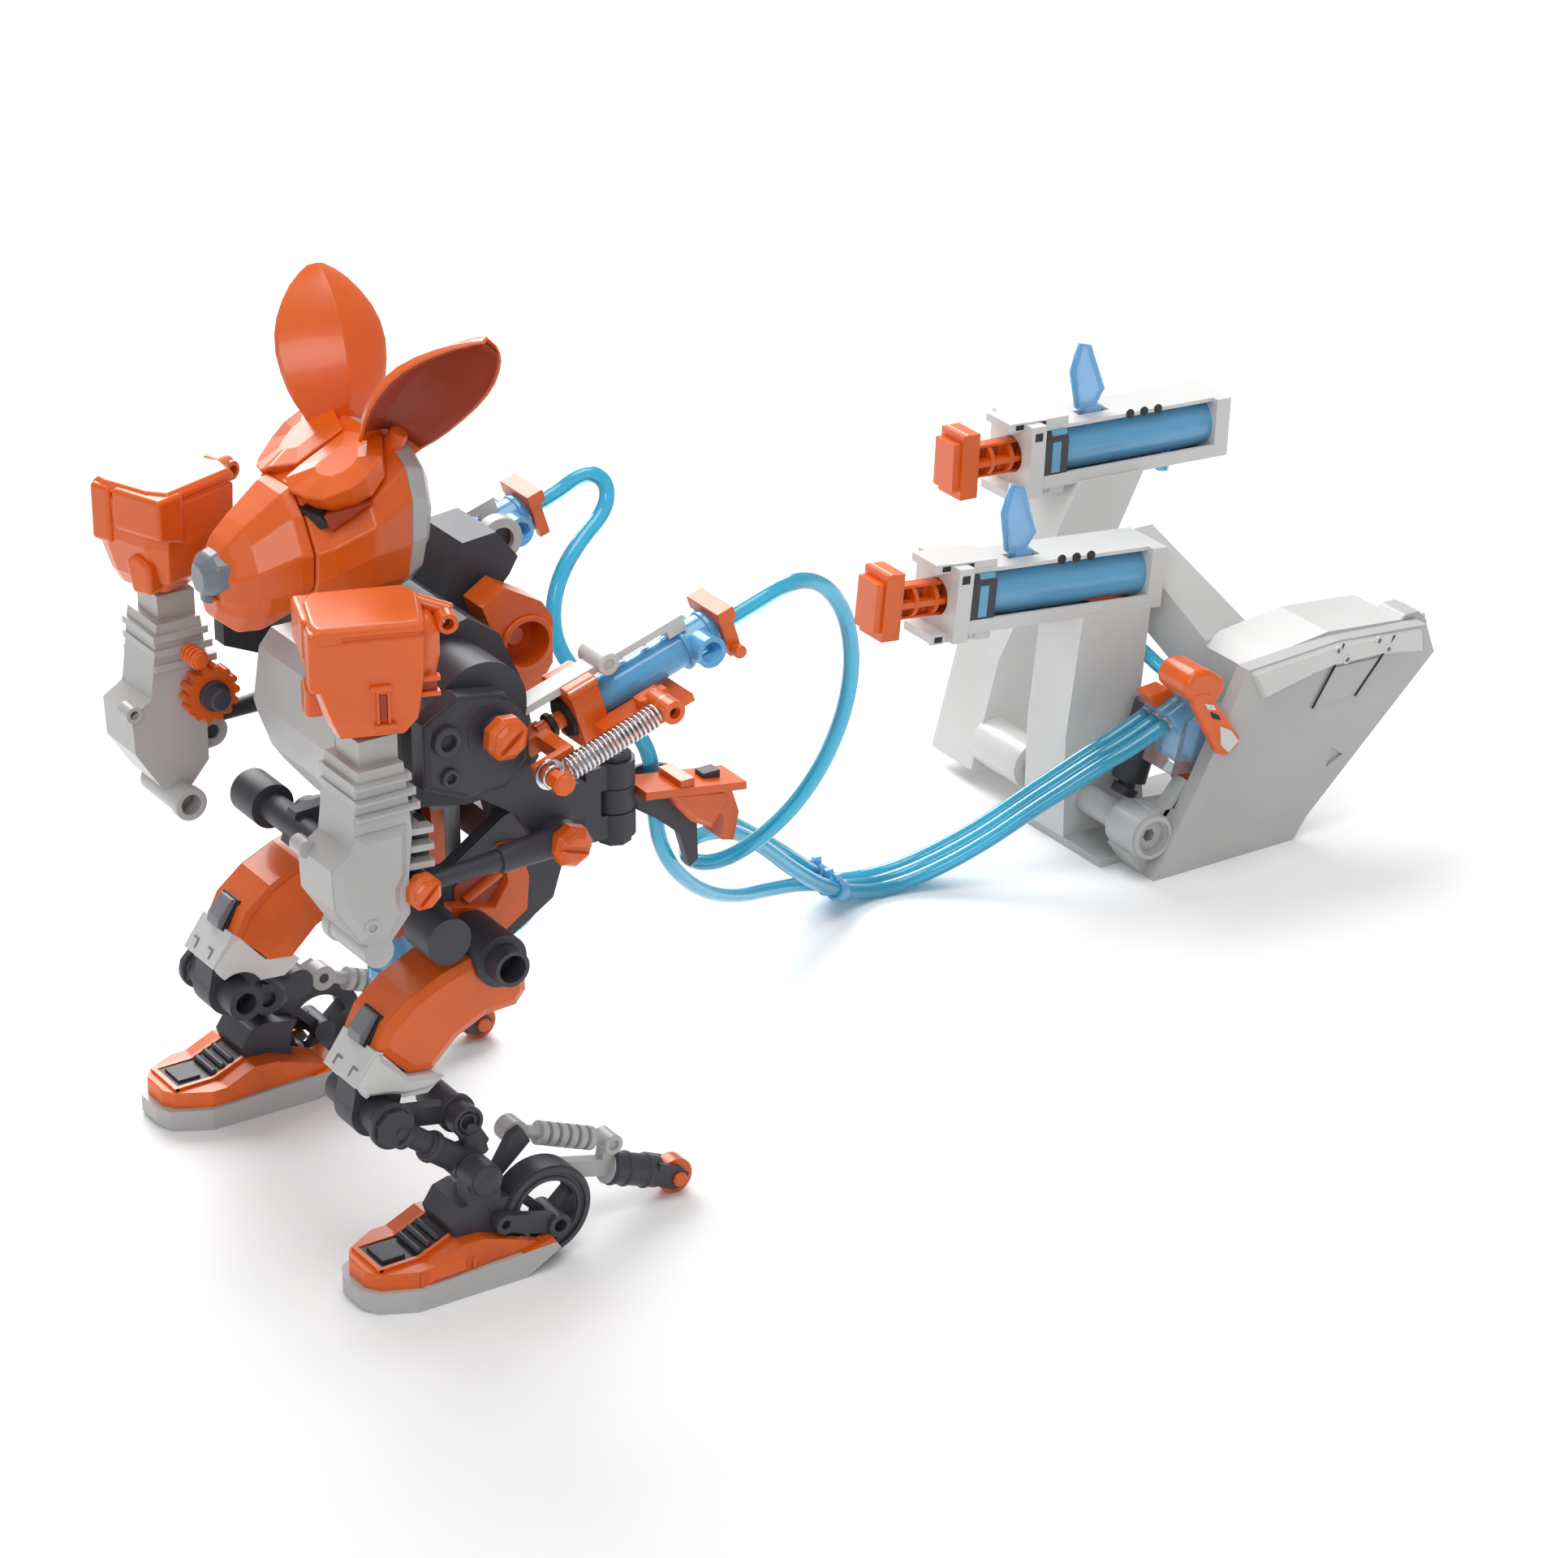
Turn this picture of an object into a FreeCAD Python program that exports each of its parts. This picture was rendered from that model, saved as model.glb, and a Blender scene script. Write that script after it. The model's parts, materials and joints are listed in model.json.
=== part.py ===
"""Hydraulic boxing kangaroo with its two-handed control unit, built from separate pieces.

Millimetres, +Z up, the robot faces -Y and its left side is +X.  Every place below is written
in the robot's own coordinates (mid-plane x = 0, ankles near y = 0, ground z = 0); the helper
functions take the document's origin, the bottom centre of the whole kit, away from them.
"""
import FreeCAD, Part
import math
import os
import re

SIZES = {
    # where the document's origin lies in the robot's own coordinates
    "origin_across": -34.5, "origin_along": 187.36,
    # legs
    "foot_in": 48.0, "foot_out": 79.0, "sole_thick": 6.5,
    "hip_along": 11.0, "hip_up": 90.0, "hip_axle_radius": 5.5,
    "knee_along": -28.0, "knee_up": 50.0, "knee_axle_radius": 5.5,
    "ankle_along": -6.6, "ankle_up": 33.0, "ankle_pin_radius": 2.5,
    "wheel_along": 14.0, "wheel_up": 15.9, "wheel_radius": 14.5, "wheel_hole": 9.5,
    "prop_along": 11.2, "prop_up": 36.4, "prop_pin_radius": 1.6,
    "roller_along": 65.2, "roller_up": 5.7, "roller_radius": 5.6, "roller_pin_radius": 1.5,
    # body
    "lean_along": 32.0, "lean_up": 118.0, "lean_pin_radius": 3.0,
    "shoulder_along": 6.5, "shoulder_up": 165.9, "shoulder_pin_radius": 4.0,
    "elbow_along": -21.5, "elbow_up": 126.9, "elbow_pin_radius": 2.2,
    "crank_along": 25.5, "crank_up": 128.9,
    # drive syringes on the back
    "drive_across": 53.0, "drive_along": 40.9, "drive_up": 161.1, "drive_tilt": 17.5,
    "barrel_radius": 5.5, "barrel_bore": 4.3, "piston_radius": 4.2,
    # head
    "neck_along": 1.0, "neck_radius": 6.0,
    "ear_across": 12.5, "ear_along": 3.0, "ear_up": 234.0, "ear_ball_radius": 3.0,
    # control unit
    "trigger_radius": 8.6, "trigger_bore": 7.2, "trigger_piston": 7.1,
    "handle_along": 310.0, "handle_up": 15.0, "handle_pin_radius": 4.0,
    # tubes
    "tube_radius": 2.5,
    # fits
    "running": 0.05, "gap": 0.4,
}

doc = FreeCAD.newDocument("hydraulic_kangaroo")
sheet = doc.addObject("Spreadsheet::Sheet", "sizes")
for row, (alias, value) in enumerate(SIZES.items(), start=1):
    sheet.set(f"A{row}", alias)
    sheet.set(f"B{row}", str(value))
    sheet.setAlias(f"B{row}", alias)
doc.recompute()
SUBPARTS = []


def size(alias):
    """The value of a driving dimension."""
    return float(sheet.get(alias))


def bind(feature, prop, value):
    """Give a property a number, or an expression in the sheet's aliases."""
    if isinstance(value, str):
        known = re.sub(r"[a-z]+(?:_[a-z]+)*", lambda word: "sizes." + word.group(0), value)
        feature.setExpression(prop, known)
    else:
        setattr(feature, prop, float(value))


def point(x, y, z):
    """A place in the robot's own coordinates, as the document's vector."""
    return FreeCAD.Vector(x - size("origin_across"), y - size("origin_along"), z)


def turned(start, end):
    """Rotation that takes +Z to the direction from start to end."""
    return FreeCAD.Rotation(FreeCAD.Vector(0, 0, 1), end - start)


# ---------------------------------------------------------------- building blocks
def rod(start, end, radius):
    """Round bar between two places."""
    a, b = point(*start), point(*end)
    bar = doc.addObject("Part::Cylinder", "rod")
    bind(bar, "Radius", radius)
    bar.Height = (b - a).Length
    bar.Placement = FreeCAD.Placement(a, turned(a, b))
    return bar


def taper(start, end, radius_start, radius_end):
    """Round bar with a different radius at each end."""
    a, b = point(*start), point(*end)
    bar = doc.addObject("Part::Cone", "taper")
    bind(bar, "Radius1", radius_start)
    bind(bar, "Radius2", radius_end)
    bar.Height = (b - a).Length
    bar.Placement = FreeCAD.Placement(a, turned(a, b))
    return bar


def across(x0, x1, y, z, radius):
    """Round bar along X."""
    return rod((x0, y, z), (x1, y, z), radius)


def ball(x, y, z, radius):
    dome = doc.addObject("Part::Sphere", "ball")
    bind(dome, "Radius", radius)
    dome.Placement.Base = point(x, y, z)
    return dome


def box(x0, x1, y0, y1, z0, z1):
    block = doc.addObject("Part::Box", "box")
    block.Length, block.Width, block.Height = x1 - x0, y1 - y0, z1 - z0
    block.Placement.Base = point(x0, y0, z0)
    return block


def prism(places, step):
    """Solid swept from a closed outline of places by a straight step."""
    outline = doc.addObject("Part::Polygon", "outline")
    outline.Nodes = [point(*place) for place in places]
    outline.Close = True
    solid = doc.addObject("Part::Extrusion", "prism")
    solid.Base = outline
    solid.DirMode = "Custom"
    solid.Dir = FreeCAD.Vector(*step)
    solid.LengthFwd = FreeCAD.Vector(*step).Length
    solid.Solid = True
    return solid


def side_plate(x0, x1, outline):
    """Plate seen from the side: (y, z) corners, between two x."""
    return prism([(x0, y, z) for y, z in outline], (x1 - x0, 0, 0))


def floor_plate(z0, z1, outline):
    """Plate seen from above: (x, y) corners, between two z."""
    return prism([(x, y, z0) for x, y in outline], (0, 0, z1 - z0))


def front_plate(y0, y1, outline):
    """Plate seen from the front: (x, z) corners, between two y."""
    return prism([(x, y0, z) for x, z in outline], (0, y1 - y0, 0))


def loft(sections):
    """Solid through closed outlines of places, with flat facets between them."""
    rings = []
    for places in sections:
        ring = doc.addObject("Part::Polygon", "ring")
        ring.Nodes = [point(*place) for place in places]
        ring.Close = True
        rings.append(ring)
    skin = doc.addObject("Part::Loft", "loft")
    skin.Sections = rings
    skin.Solid = True
    skin.Ruled = True
    return skin


def fuse(*shapes):
    whole = doc.addObject("Part::MultiFuse", "fuse")
    whole.Shapes = list(shapes)
    whole.Refine = True
    return whole


def cut(base, *tools):
    rest = base
    for tool in tools:
        cutting = doc.addObject("Part::Cut", "cut")
        cutting.Base, cutting.Tool = rest, tool
        rest = cutting
    return rest


def common(first, second):
    shared = doc.addObject("Part::Common", "common")
    shared.Base, shared.Tool = first, second
    return shared


def together(*shapes):
    """Separate solids that share one node."""
    group = doc.addObject("Part::Compound", "group")
    group.Links = list(shapes)
    return group


def mirrored(source):
    """The same piece on the robot's right side."""
    copy = doc.addObject("Part::Mirroring", "mirror")
    copy.Source = source
    copy.Base = point(0, 0, 0)
    copy.Normal = FreeCAD.Vector(1, 0, 0)
    return copy


def subpart(shape, name):
    shape.Label = name
    SUBPARTS.append(shape)
    return shape


def pair(shape, name):
    """A piece on the left and its mirror image on the right."""
    subpart(shape, "left_" + name)
    subpart(mirrored(shape), "right_" + name)


def tube(x0, x1, y, z, radius, bore):
    """Hollow round bar along X."""
    return cut(across(x0, x1, y, z, radius), across(x0 - 1, x1 + 1, y, z, bore))


# ---------------------------------------------------------------- foot, ankle and heel prop
def foot():
    """Sole and upper: two separate solids that meet face to face, with a slot for the wheel."""
    inner, outer = size("foot_in"), size("foot_out")
    plan = [(inner, 17), (inner, -32), (inner + 6, -43), (inner + 11, -45.5), (outer - 10, -45.5),
            (outer - 5, -42), (outer, -32), (outer, 17)]
    lip = 1.3
    upper_plan = [(inner + lip, 17), (inner + lip, -31), (inner + 7, -41), (inner + 11.5, -43.5),
                  (outer - 10.5, -43.5), (outer - 6, -40.5), (outer - lip, -31), (outer - lip, 17)]
    sole = side_plate(inner - 1, outer + 1, [
        (-47, 2.2), (-43, 0), (3, 0), (15, 6.5), (12.5, 10.5), (2, 8.2), (-47, 6.5)])
    upper = side_plate(inner - 1, outer + 1, [
        (-47, 6.5), (-46.5, 9.8), (-43, 12), (-26, 12.4), (-16.5, 16.6), (-9, 16.2), (0, 13.2),
        (9, 9.8), (2, 8.2)])
    slot = across(62.8, 75.0, size("wheel_along"), size("wheel_up"), "wheel_radius + gap * 2")
    sole = cut(common(sole, floor_plate(-1, 40, plan)), slot)
    upper = cut(common(upper, floor_plate(-1, 40, upper_plan)), slot)
    return together(sole, upper)


def ankle_block():
    """Bracket over the foot with the ankle lug, the heel wheel and its crank link."""
    y, z = size("ankle_along"), size("ankle_up")
    wheel_y, wheel_z = size("wheel_along"), size("wheel_up")
    block = side_plate(56, 73, [
        (-16.5, 16.6), (-17.5, 20), (-14, 25.2), (-9, 26.5), (2, 24.5), (5.5, 17), (9, 9.8),
        (0, 13.2), (-9, 16.2)])
    lug = fuse(side_plate(66.6, 73, [(-11.8, 25), (-11.8, 33), (-1.4, 33), (-1, 24)]),
               across(66.6, 75, y, z, 5.2),
               across(59.5, 66.6, y, z, "ankle_pin_radius"))
    arm = fuse(side_plate(61.2, 64.2, [(-4, 25.3), (2, 24.4), (14, 34.8), (11.5, 39.6), (7.6, 38.2),
                                       (2.2, 29.6)]),
               across(55.2, 61.4, size("prop_along"), size("prop_up"), "prop_pin_radius"))
    well = across(53, 74, wheel_y, wheel_z, "wheel_radius + gap")
    hub_clear = across(57.4, 66.61, y, z, 5.6)
    bracket = fuse(cut(block, well, hub_clear), cut(lug, well), arm)
    return together(bracket, heel_wheel(wheel_y, wheel_z))


def heel_wheel(y, z):
    """Spoked ring behind the ankle, with an off-centre hub and a link on its outer face."""
    ring = cut(across(65, 73, y, z, "wheel_radius"), across(64, 74, y, z, "wheel_hole"))
    spokes = []
    for turn in (math.radians(20), math.radians(140), math.radians(255)):
        run_y, run_z = 11 * math.cos(turn) - 1.9, 11 * math.sin(turn) + 3.4
        side_y, side_z = (1.4 * part / math.hypot(run_y, run_z) for part in (-run_z, run_y))
        near, far = (y + 1.9, z - 3.4), (y + 1.9 + run_y, z - 3.4 + run_z)
        spokes.append(side_plate(67, 70, [(near[0] + side_y, near[1] + side_z), (far[0] + side_y, far[1] + side_z),
                                          (far[0] - side_y, far[1] - side_z),
                                          (near[0] - side_y, near[1] - side_z)]))
    hub = across(65, 77.4, y + 1.9, z - 3.4, 3.6)
    link = side_plate(73.4, 76.2, [(y + 1.9, z - 0.2), (y - 15.8, z + 5.0), (y - 15.8, z - 0.6),
                                   (y + 1.9, z - 6.8)])
    pivot = across(73.4, 77.0, y - 15.8, z + 2.2, 3.0)
    sockets = [across(74.6, 78, y + 1.9, z - 3.4, 2.0), across(75.2, 78, y - 15.8, z + 2.2, 1.4)]
    return cut(fuse(ring, hub, link, pivot, *spokes), *sockets)


def prop_arm():
    """Trailing prop: bellows strut and bar side by side, then a housing with a roller fork."""
    y, z = size("prop_along"), size("prop_up")
    end_y, end_z = size("roller_along"), size("roller_up")
    head = cut(across(55.2, 60.8, y, z, 4.0),
               across(54, 62, y, z, "prop_pin_radius + running"))
    strut = rod((58, y + 3.4, z - 1.4), (58, 43.2, 23.4), 2.0)
    rings = [rod((58, y + 32 * part, z - 13 * part), (58, y + 32 * part + 1.9, z - 13 * part - 0.77),
                 3.6) for part in (0.27, 0.37, 0.47, 0.57, 0.67, 0.77)]
    knuckle = across(54.8, 61.2, 43.2, 23.4, 3.1)
    web = side_plate(56, 60, [(41, 22.4), (45.4, 21.4), (45.6, 15), (40, 16)])
    bar = prism([(56, 23, 17.5), (60, 23, 17.5), (60, 24, 22.5), (56, 24, 22.5)], (0, 22, -5.6))
    housing = rod((58, 42.5, 14.6), (58, 59.4, 8.0), 4.9)
    fork = [side_plate(side, side + 1.6, [(57.6, 5.4), (58.8, 12.6), (66, 9.4), (68.6, 6.6),
                                          (67, 3), (63.4, 2.4)]) for side in (53.5, 60.9)]
    pin = across(55, 61, end_y, end_z, "roller_pin_radius")
    clear = across(55.1, 60.9, end_y, end_z, "roller_radius + gap")
    return fuse(head, strut, knuckle, web, bar, cut(fuse(housing, *fork), clear), pin, *rings)


def prop_roller():
    y, z = size("roller_along"), size("roller_up")
    return cut(across(55.5, 60.5, y, z, "roller_radius"),
               across(55, 61, y, z, "roller_pin_radius + running"))


# ---------------------------------------------------------------- shin and thigh
def shin():
    """Two struts between the knee axle, the rear knuckle and the ankle hub."""
    y, z = size("knee_along"), size("knee_up")
    ankle_y, ankle_z = size("ankle_along"), size("ankle_up")
    axle = cut(across(29.5, 57, y, z, "knee_axle_radius"), across(28, 36, y, z, 3.4))
    cap = side_plate(56, 62, [(y + 6 * math.cos(math.radians(22.5 + 45 * k)),
                               z + 6 * math.sin(math.radians(22.5 + 45 * k))) for k in range(8)])
    front = fuse(rod((59, y + 1, z - 1), (62, ankle_y - 6, ankle_z + 5.2), 3.4),
                 rod((61, -18.5, 42.0), (61.8, ankle_y - 2.4, ankle_z + 2), 4.2))
    rear_tube = across(40, 61.5, -5, 45.5, 4.8)
    rear = fuse(rod((59.5, -5, 45), (62, ankle_y + 5.4, ankle_z + 4.4), 2.9),
                rod((60.4, -3.8, 41.5), (62.2, ankle_y + 4, ankle_z + 2), 3.6))
    web = side_plate(51, 55.5, [(y, z + 2.6), (-5, 48.5), (-5, 42.6), (y, z - 3)])
    hub = cut(across(58, 66, ankle_y, ankle_z, 5.2),
              across(57, 67, ankle_y, ankle_z, "ankle_pin_radius + running"))
    bore = across(57.9, 66.1, ankle_y, ankle_z, "ankle_pin_radius + running")
    return cut(fuse(axle, cap, front, rear_tube, rear, web, hub), bore,
               across(60.6, 62.5, -5, 45.5, 2.2))


def thigh_frame():
    """Inner beam of the thigh, with the hip ring and the knee ring."""
    hip_y, hip_z = size("hip_along"), size("hip_up")
    y, z = size("knee_along"), size("knee_up")
    beam = side_plate(39, 49.5, [(hip_y - 2, hip_z + 7.5), (hip_y + 7.5, hip_z - 2), (6, 76), (-6, 70),
                                 (-17, 60), (y + 7.4, z - 1), (y - 7.4, z + 1), (-33, 64), (-26, 74),
                                 (-12, 84)])
    rings = [across(39, 49.5, y, z, 7.6), across(37, 56, hip_y, hip_z, 8.0)]
    bores = [across(30, 60, y, z, "knee_axle_radius + running"),
             across(30, 63, hip_y, hip_z, "hip_axle_radius + running")]
    return cut(fuse(beam, *rings), *bores)


def thigh_cover(frame_shape):
    """Curved thigh armour and the knee guard below it: two shells over the beam."""
    armour = side_plate(33, 51.5, [(-26.5, 69.1), (-23, 75.6), (-15.5, 82.1), (-5.5, 87.1), (4.5, 89.7),
                                   (12.5, 89.1), (19.5, 82.1), (20, 76.1), (17.5, 72.6), (7.5, 72.1),
                                   (-2, 67.6), (-10.5, 59.6), (-18, 60.6)])
    hollow = side_plate(36, 49.7, [(-28.5, 66.1), (-20.5, 73.6), (-14, 79.3), (-4.5, 84.1), (4.5, 86.5),
                                   (11.5, 86.1), (24.5, 80.1), (24.5, 56.1), (-10.5, 54.1),
                                   (-19.5, 56.1)])
    hip_clear = across(30, 60, size("hip_along"), size("hip_up"), 8.2)
    guard = side_plate(34, 53, [(-34.8, 61.9), (-27.2, 70), (-18.8, 60.4), (-10.3, 59.2), (-7.3, 57.4),
                                (-12.8, 53.4), (-25.8, 54.4), (-32.8, 57.4)])
    guard_hollow = side_plate(37, 50, [(-30.8, 60.9), (-26.8, 65.4), (-19.8, 57.4), (-5.8, 57.4),
                                       (-5.8, 46.4), (-29.8, 46.4)])
    knee_clear = across(32, 60, size("knee_along"), size("knee_up"), 8.4)
    armour = cut(armour, hollow, hip_clear, frame_shape)
    guard = cut(guard, guard_hollow, knee_clear, frame_shape)
    return together(armour, guard)


# ---------------------------------------------------------------- pelvis
def hip_axle():
    """Hip stub axles, front cross tube, side cheeks and the fixed tail arm, moulded as one frame."""
    hip_y, hip_z = size("hip_along"), size("hip_up")
    lean_y, lean_z = size("lean_along"), size("lean_up")
    axle = cut(fuse(across(26.5, 62, hip_y, hip_z, "hip_axle_radius"),
                    across(-62, -26.5, hip_y, hip_z, "hip_axle_radius")),
               across(54, 63, hip_y, hip_z, 4.2), across(-63, -54, hip_y, hip_z, 4.2))
    front = fuse(across(-60, 60, -8, 103, 4.5), across(46, 60, -8, 103, 7.0),
                 across(-60, -46, -8, 103, 7.0))
    cheeks = [side_plate(x0, x0 + 5, [(-13, 99), (-10, 109), (8, 110), (26, 122), (34, 124), (40, 118),
                                      (46, 104), (42, 92), (26, 82), (10, 83), (2, 92)])
              for x0 in (27, -32)]
    pins = [across(21.5, 28, lean_y, lean_z, "lean_pin_radius"),
            across(-28, -21.5, lean_y, lean_z, "lean_pin_radius")]
    bridge = box(-28, 28, 41, 45.5, 93, 105)
    arm = fuse(box(-4.5, 4.5, 45, 74, 99.5, 111), rod((0, 82, 90), (0, 82, 98), 6.6),
               rod((0, 82, 106.5), (0, 82, 114.5), 6.6), box(-4.5, 4.5, 70, 75, 90.5, 114.2),
               rod((0, 82, 97), (0, 82, 107), 2.2))
    arm = cut(arm, box(-2.6, 2.6, 48, 68, 102.5, 112))
    jaws = [box(-4.5, 4.5, 70, 81, 90.5, 98), box(-4.5, 4.5, 70, 81, 106.5, 114.2)]
    return fuse(axle, front, *cheeks, *pins, bridge, arm, *jaws)


def pelvis_frame():
    """C-shaped side frames with a cradle plate that holds the upright syringe."""
    outline = [(12, 86), (17, 84.5), (29, 80.5), (39, 87), (40, 98), (36, 108), (30, 109), (31, 98),
               (27, 92), (17, 95), (12, 96)]
    sides = [side_plate(x0, x0 + 6, outline) for x0 in (20, -26)]
    cradle = box(-26, 26, 17, 27, 82, 86.5)
    collar = cut(box(-13, 13, -4, 18, 82, 90), rod((0, 8, 80), (0, 8, 92), 9.1))
    posts = [rod((side * 20, 16, 90), (side * 20, 16, 102), 4.0) for side in (1, -1)]
    guides = [rod((side * 20, 16, 88), (side * 20, 16, 103), 2.35) for side in (1, -1)]
    seats = [box(12, 26, 12, 20, 82, 91), box(-26, -12, 12, 20, 82, 91)]
    return cut(fuse(*sides, cradle, collar, *posts, *seats),
               rod((0, 8, 70), (0, 8, 110), 9.0), *guides)


def lean_cylinder():
    """Upright syringe barrel under the pelvis, closed at the bottom, with a side outlet."""
    barrel = fuse(rod((0, 8, 66), (0, 8, 104), 7.6), rod((0, 8, 63.5), (0, 8, 67), 9.6),
                  rod((0, 8, 66), (0, 8, 81.9), 8.6), rod((0, 8, 68.5), (0, 22, 68.5), 2.7))
    return cut(barrel, rod((0, 8, 69), (0, 8, 105), "barrel_bore + 2"),
               rod((0, 14, 68.5), (0, 23, 68.5), 1.4))


def lean_piston():
    """Rod of the upright syringe with a cross-head and two guide rods."""
    stem = rod((0, 8, 100), (0, 8, 128), 3.0)
    head = rod((0, 8, 99.5), (0, 8, 102), 6.2)
    bar = box(-23, 23, 9, 19, 124.5, 128)
    plate = box(-4, 4, 4, 12, 124.5, 128)
    guides = [rod((side * 20, 16, 96), (side * 20, 16, 126), 2.3) for side in (1, -1)]
    return fuse(stem, head, bar, plate, *guides)


# ---------------------------------------------------------------- torso
def torso_frame():
    """Dark main block of the torso with its hinge lugs, shoulder drums and axles."""
    y, z = size("shoulder_along"), size("shoulder_up")
    lean_y, lean_z = size("lean_along"), size("lean_up")
    block = side_plate(-36, 36, [(-8, 135), (-8, 176), (-2, 184), (14, 188), (24, 181), (31, 165),
                                 (36, 140), (30, 132), (12, 131)])
    lugs = [side_plate(x0, x0 + 5, [(22, 133), (40, 136), (38, 118), (35, 112.5), (29, 112.5),
                                    (26, 118)]) for x0 in (21.5, -26.5)]
    bores = [across(20, 29, lean_y, lean_z, "lean_pin_radius + running"),
             across(-29, -20, lean_y, lean_z, "lean_pin_radius + running")]
    drums = [across(x0, x0 + 21, y, z + 3, 14.5) for x0 in (35, -56)]
    axles = [across(55, 67, y, z, "shoulder_pin_radius"), across(-67, -55, y, z, "shoulder_pin_radius")]
    neck = fuse(rod((0, size("neck_along"), 182), (0, size("neck_along"), 188.6), 9.0),
                rod((0, size("neck_along"), 186), (0, size("neck_along"), 198), "neck_radius"))
    fin = side_plate(-11, 11, [(20, 182), (27, 199), (38, 200), (45, 191), (42, 186), (28, 172)])
    return fuse(cut(fuse(block, *lugs), *bores), *drums, *axles, neck, fin)


def chest_shell():
    """Light rounded chest between the arms."""
    half = [(24, 171), (24, 146), (19, 131), (8, 125.5)]
    plan = half + [(-x, z) for x, z in reversed(half)]
    solid = common(front_plate(-30, -8, plan),
                   side_plate(-25, 25, [(-8, 172), (-8, 124), (-13, 125), (-20, 136), (-23.5, 150),
                                        (-21, 166), (-16, 172)]))
    return solid


def back_guards():
    """Octagonal guards behind the shoulders, each with a round recess."""
    outline = [(25.5, 184), (33, 188.5), (45, 181.5), (48.5, 176), (48.2, 162), (42, 153),
               (36.5, 154.5), (33, 164)]
    guards = []
    for side in (1, -1):
        x0, x1 = (13, 24) if side > 0 else (-24, -13)
        plate = side_plate(x0, x1, outline)
        recess = across(x0 + 3, x1 + 1, 39.5, 170, 6.8) if side > 0 else \
            across(x0 - 1, x1 - 3, 39.5, 170, 6.8)
        guards.append(cut(plate, recess))
    return together(*guards)


# ---------------------------------------------------------------- drive syringes
def drive(along, over, aside=0.0):
    """A place in the drive syringe's own axes: along the barrel, over it, and beside it."""
    tilt = math.radians(size("drive_tilt"))
    return (size("drive_across") + aside,
            size("drive_along") + along * math.cos(tilt) - over * math.sin(tilt),
            size("drive_up") + along * math.sin(tilt) + over * math.cos(tilt))


def drive_box(a0, a1, o0, o1, x0, x1):
    """Block in the drive syringe's own axes."""
    ring = [drive(a0, o0, x0), drive(a1, o0, x0), drive(a1, o1, x0), drive(a0, o1, x0)]
    return prism(ring, (x1 - x0, 0, 0))


def syringe():
    """Clear barrel with a thicker head, two side bosses and an outlet nipple."""
    body = fuse(rod(drive(0, 0), drive(40, 0), "barrel_radius"), rod(drive(33, 0), drive(44, 0), 6.3),
                rod(drive(38, 0, -9.6), drive(38, 0, 10.6), 4.7), rod(drive(43, 0), drive(49, 0), 2.5))
    return cut(body, rod(drive(-1, 0), drive(33, 0), "barrel_bore"), rod(drive(30, 0), drive(50, 0), 1.3),
               rod(drive(38, 0, 5), drive(38, 0, 11), 3.2), rod(drive(38, 0, -10), drive(38, 0, -5), 3.2))


def punch_rod():
    """Piston, rod, cross yoke and the front pin that pulls the spring."""
    piston = rod(drive(2, 0), drive(8, 0), "piston_radius")
    stem = rod(drive(-16, 0), drive(3, 0), 2.6)
    yoke = fuse(drive_box(-23, -15, -4, 1.5, -3.6, 3.2), drive_box(-17.6, -13.6, -4.2, 1.5, -3.6, 17))
    cheek = drive_box(-26.5, -13.6, -5.0, 1.6, 14.4, 17)
    pin = fuse(rod(drive(-23.5, -1.6, 14.4), drive(-23.5, -1.6, 24.5), 2.0),
               rod(drive(-23.5, -1.6, 24.4), drive(-23.5, -1.6, 27.4), 2.9))
    return fuse(piston, stem, yoke, cheek, pin)


def drive_clips():
    """Spring holders beside the barrels and the cross clips on the outlets."""
    holder = fuse(drive_box(-6, 3, -9, 9, -7, 7.6), drive_box(0, 27, -8.6, -6.2, -3, 14),
                  drive_box(-2, 12, -8.6, -2, 7, 13.5), drive_box(10, 18, -8.6, -4, 7, 15),
                  drive_box(11, 19, -3, 1.6, 13, 16), drive_box(10.4, 17.6, -8.6, 1.6, 11.5, 15.4),
                  rod(drive(15, -0.9, 14), drive(15, -0.9, 24), 3.0))
    holder = cut(holder, rod(drive(-10, 0), drive(40, 0), 5.6),
                 rod(drive(15, -0.9, 21), drive(15, -0.9, 25), 1.4))
    clip = fuse(drive_box(44.6, 49, 4.6, 7.6, -8, 8), drive_box(44.6, 48, -6.4, 6, -7.4, -5),
                drive_box(44.6, 48, -6.4, 6, 5, 7.4), rod(drive(46.3, -4.6, -7.4), drive(46.3, -4.6, 11), 1.5))
    clip = cut(clip, rod(drive(40, 0), drive(52, 0), 2.6))
    return together(holder, clip, mirrored(holder), mirrored(clip))


def syringe_rails():
    """Light rails that carry the drive syringes from the shoulders."""
    bar = fuse(drive_box(-28, 36, 9.2, 11.6, -3.4, 3.4), drive_box(-6, 3, 9, 11, -7, 7.6),
               rod(drive(9, 11.4, -5), drive(9, 11.4, 5), 2.6), drive_box(30, 36, 6.5, 9.4, -3.4, 3.4))
    bar = cut(bar, rod(drive(-30, 0), drive(40, 0), 6.4),
              across(20, 60, size("shoulder_along"), size("shoulder_up") + 3, 14.5))
    return together(bar, mirrored(bar))


def return_spring():
    """The coil's outer cylinder, between the front pin and the rear pin."""
    front, rear = drive(-23.5 + 3.2, -1.5, 21.2), drive(15 - 3.4, -1.0, 21.2)
    return cut(rod(front, rear, 3.6), rod(front, rear, 2.6))


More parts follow.
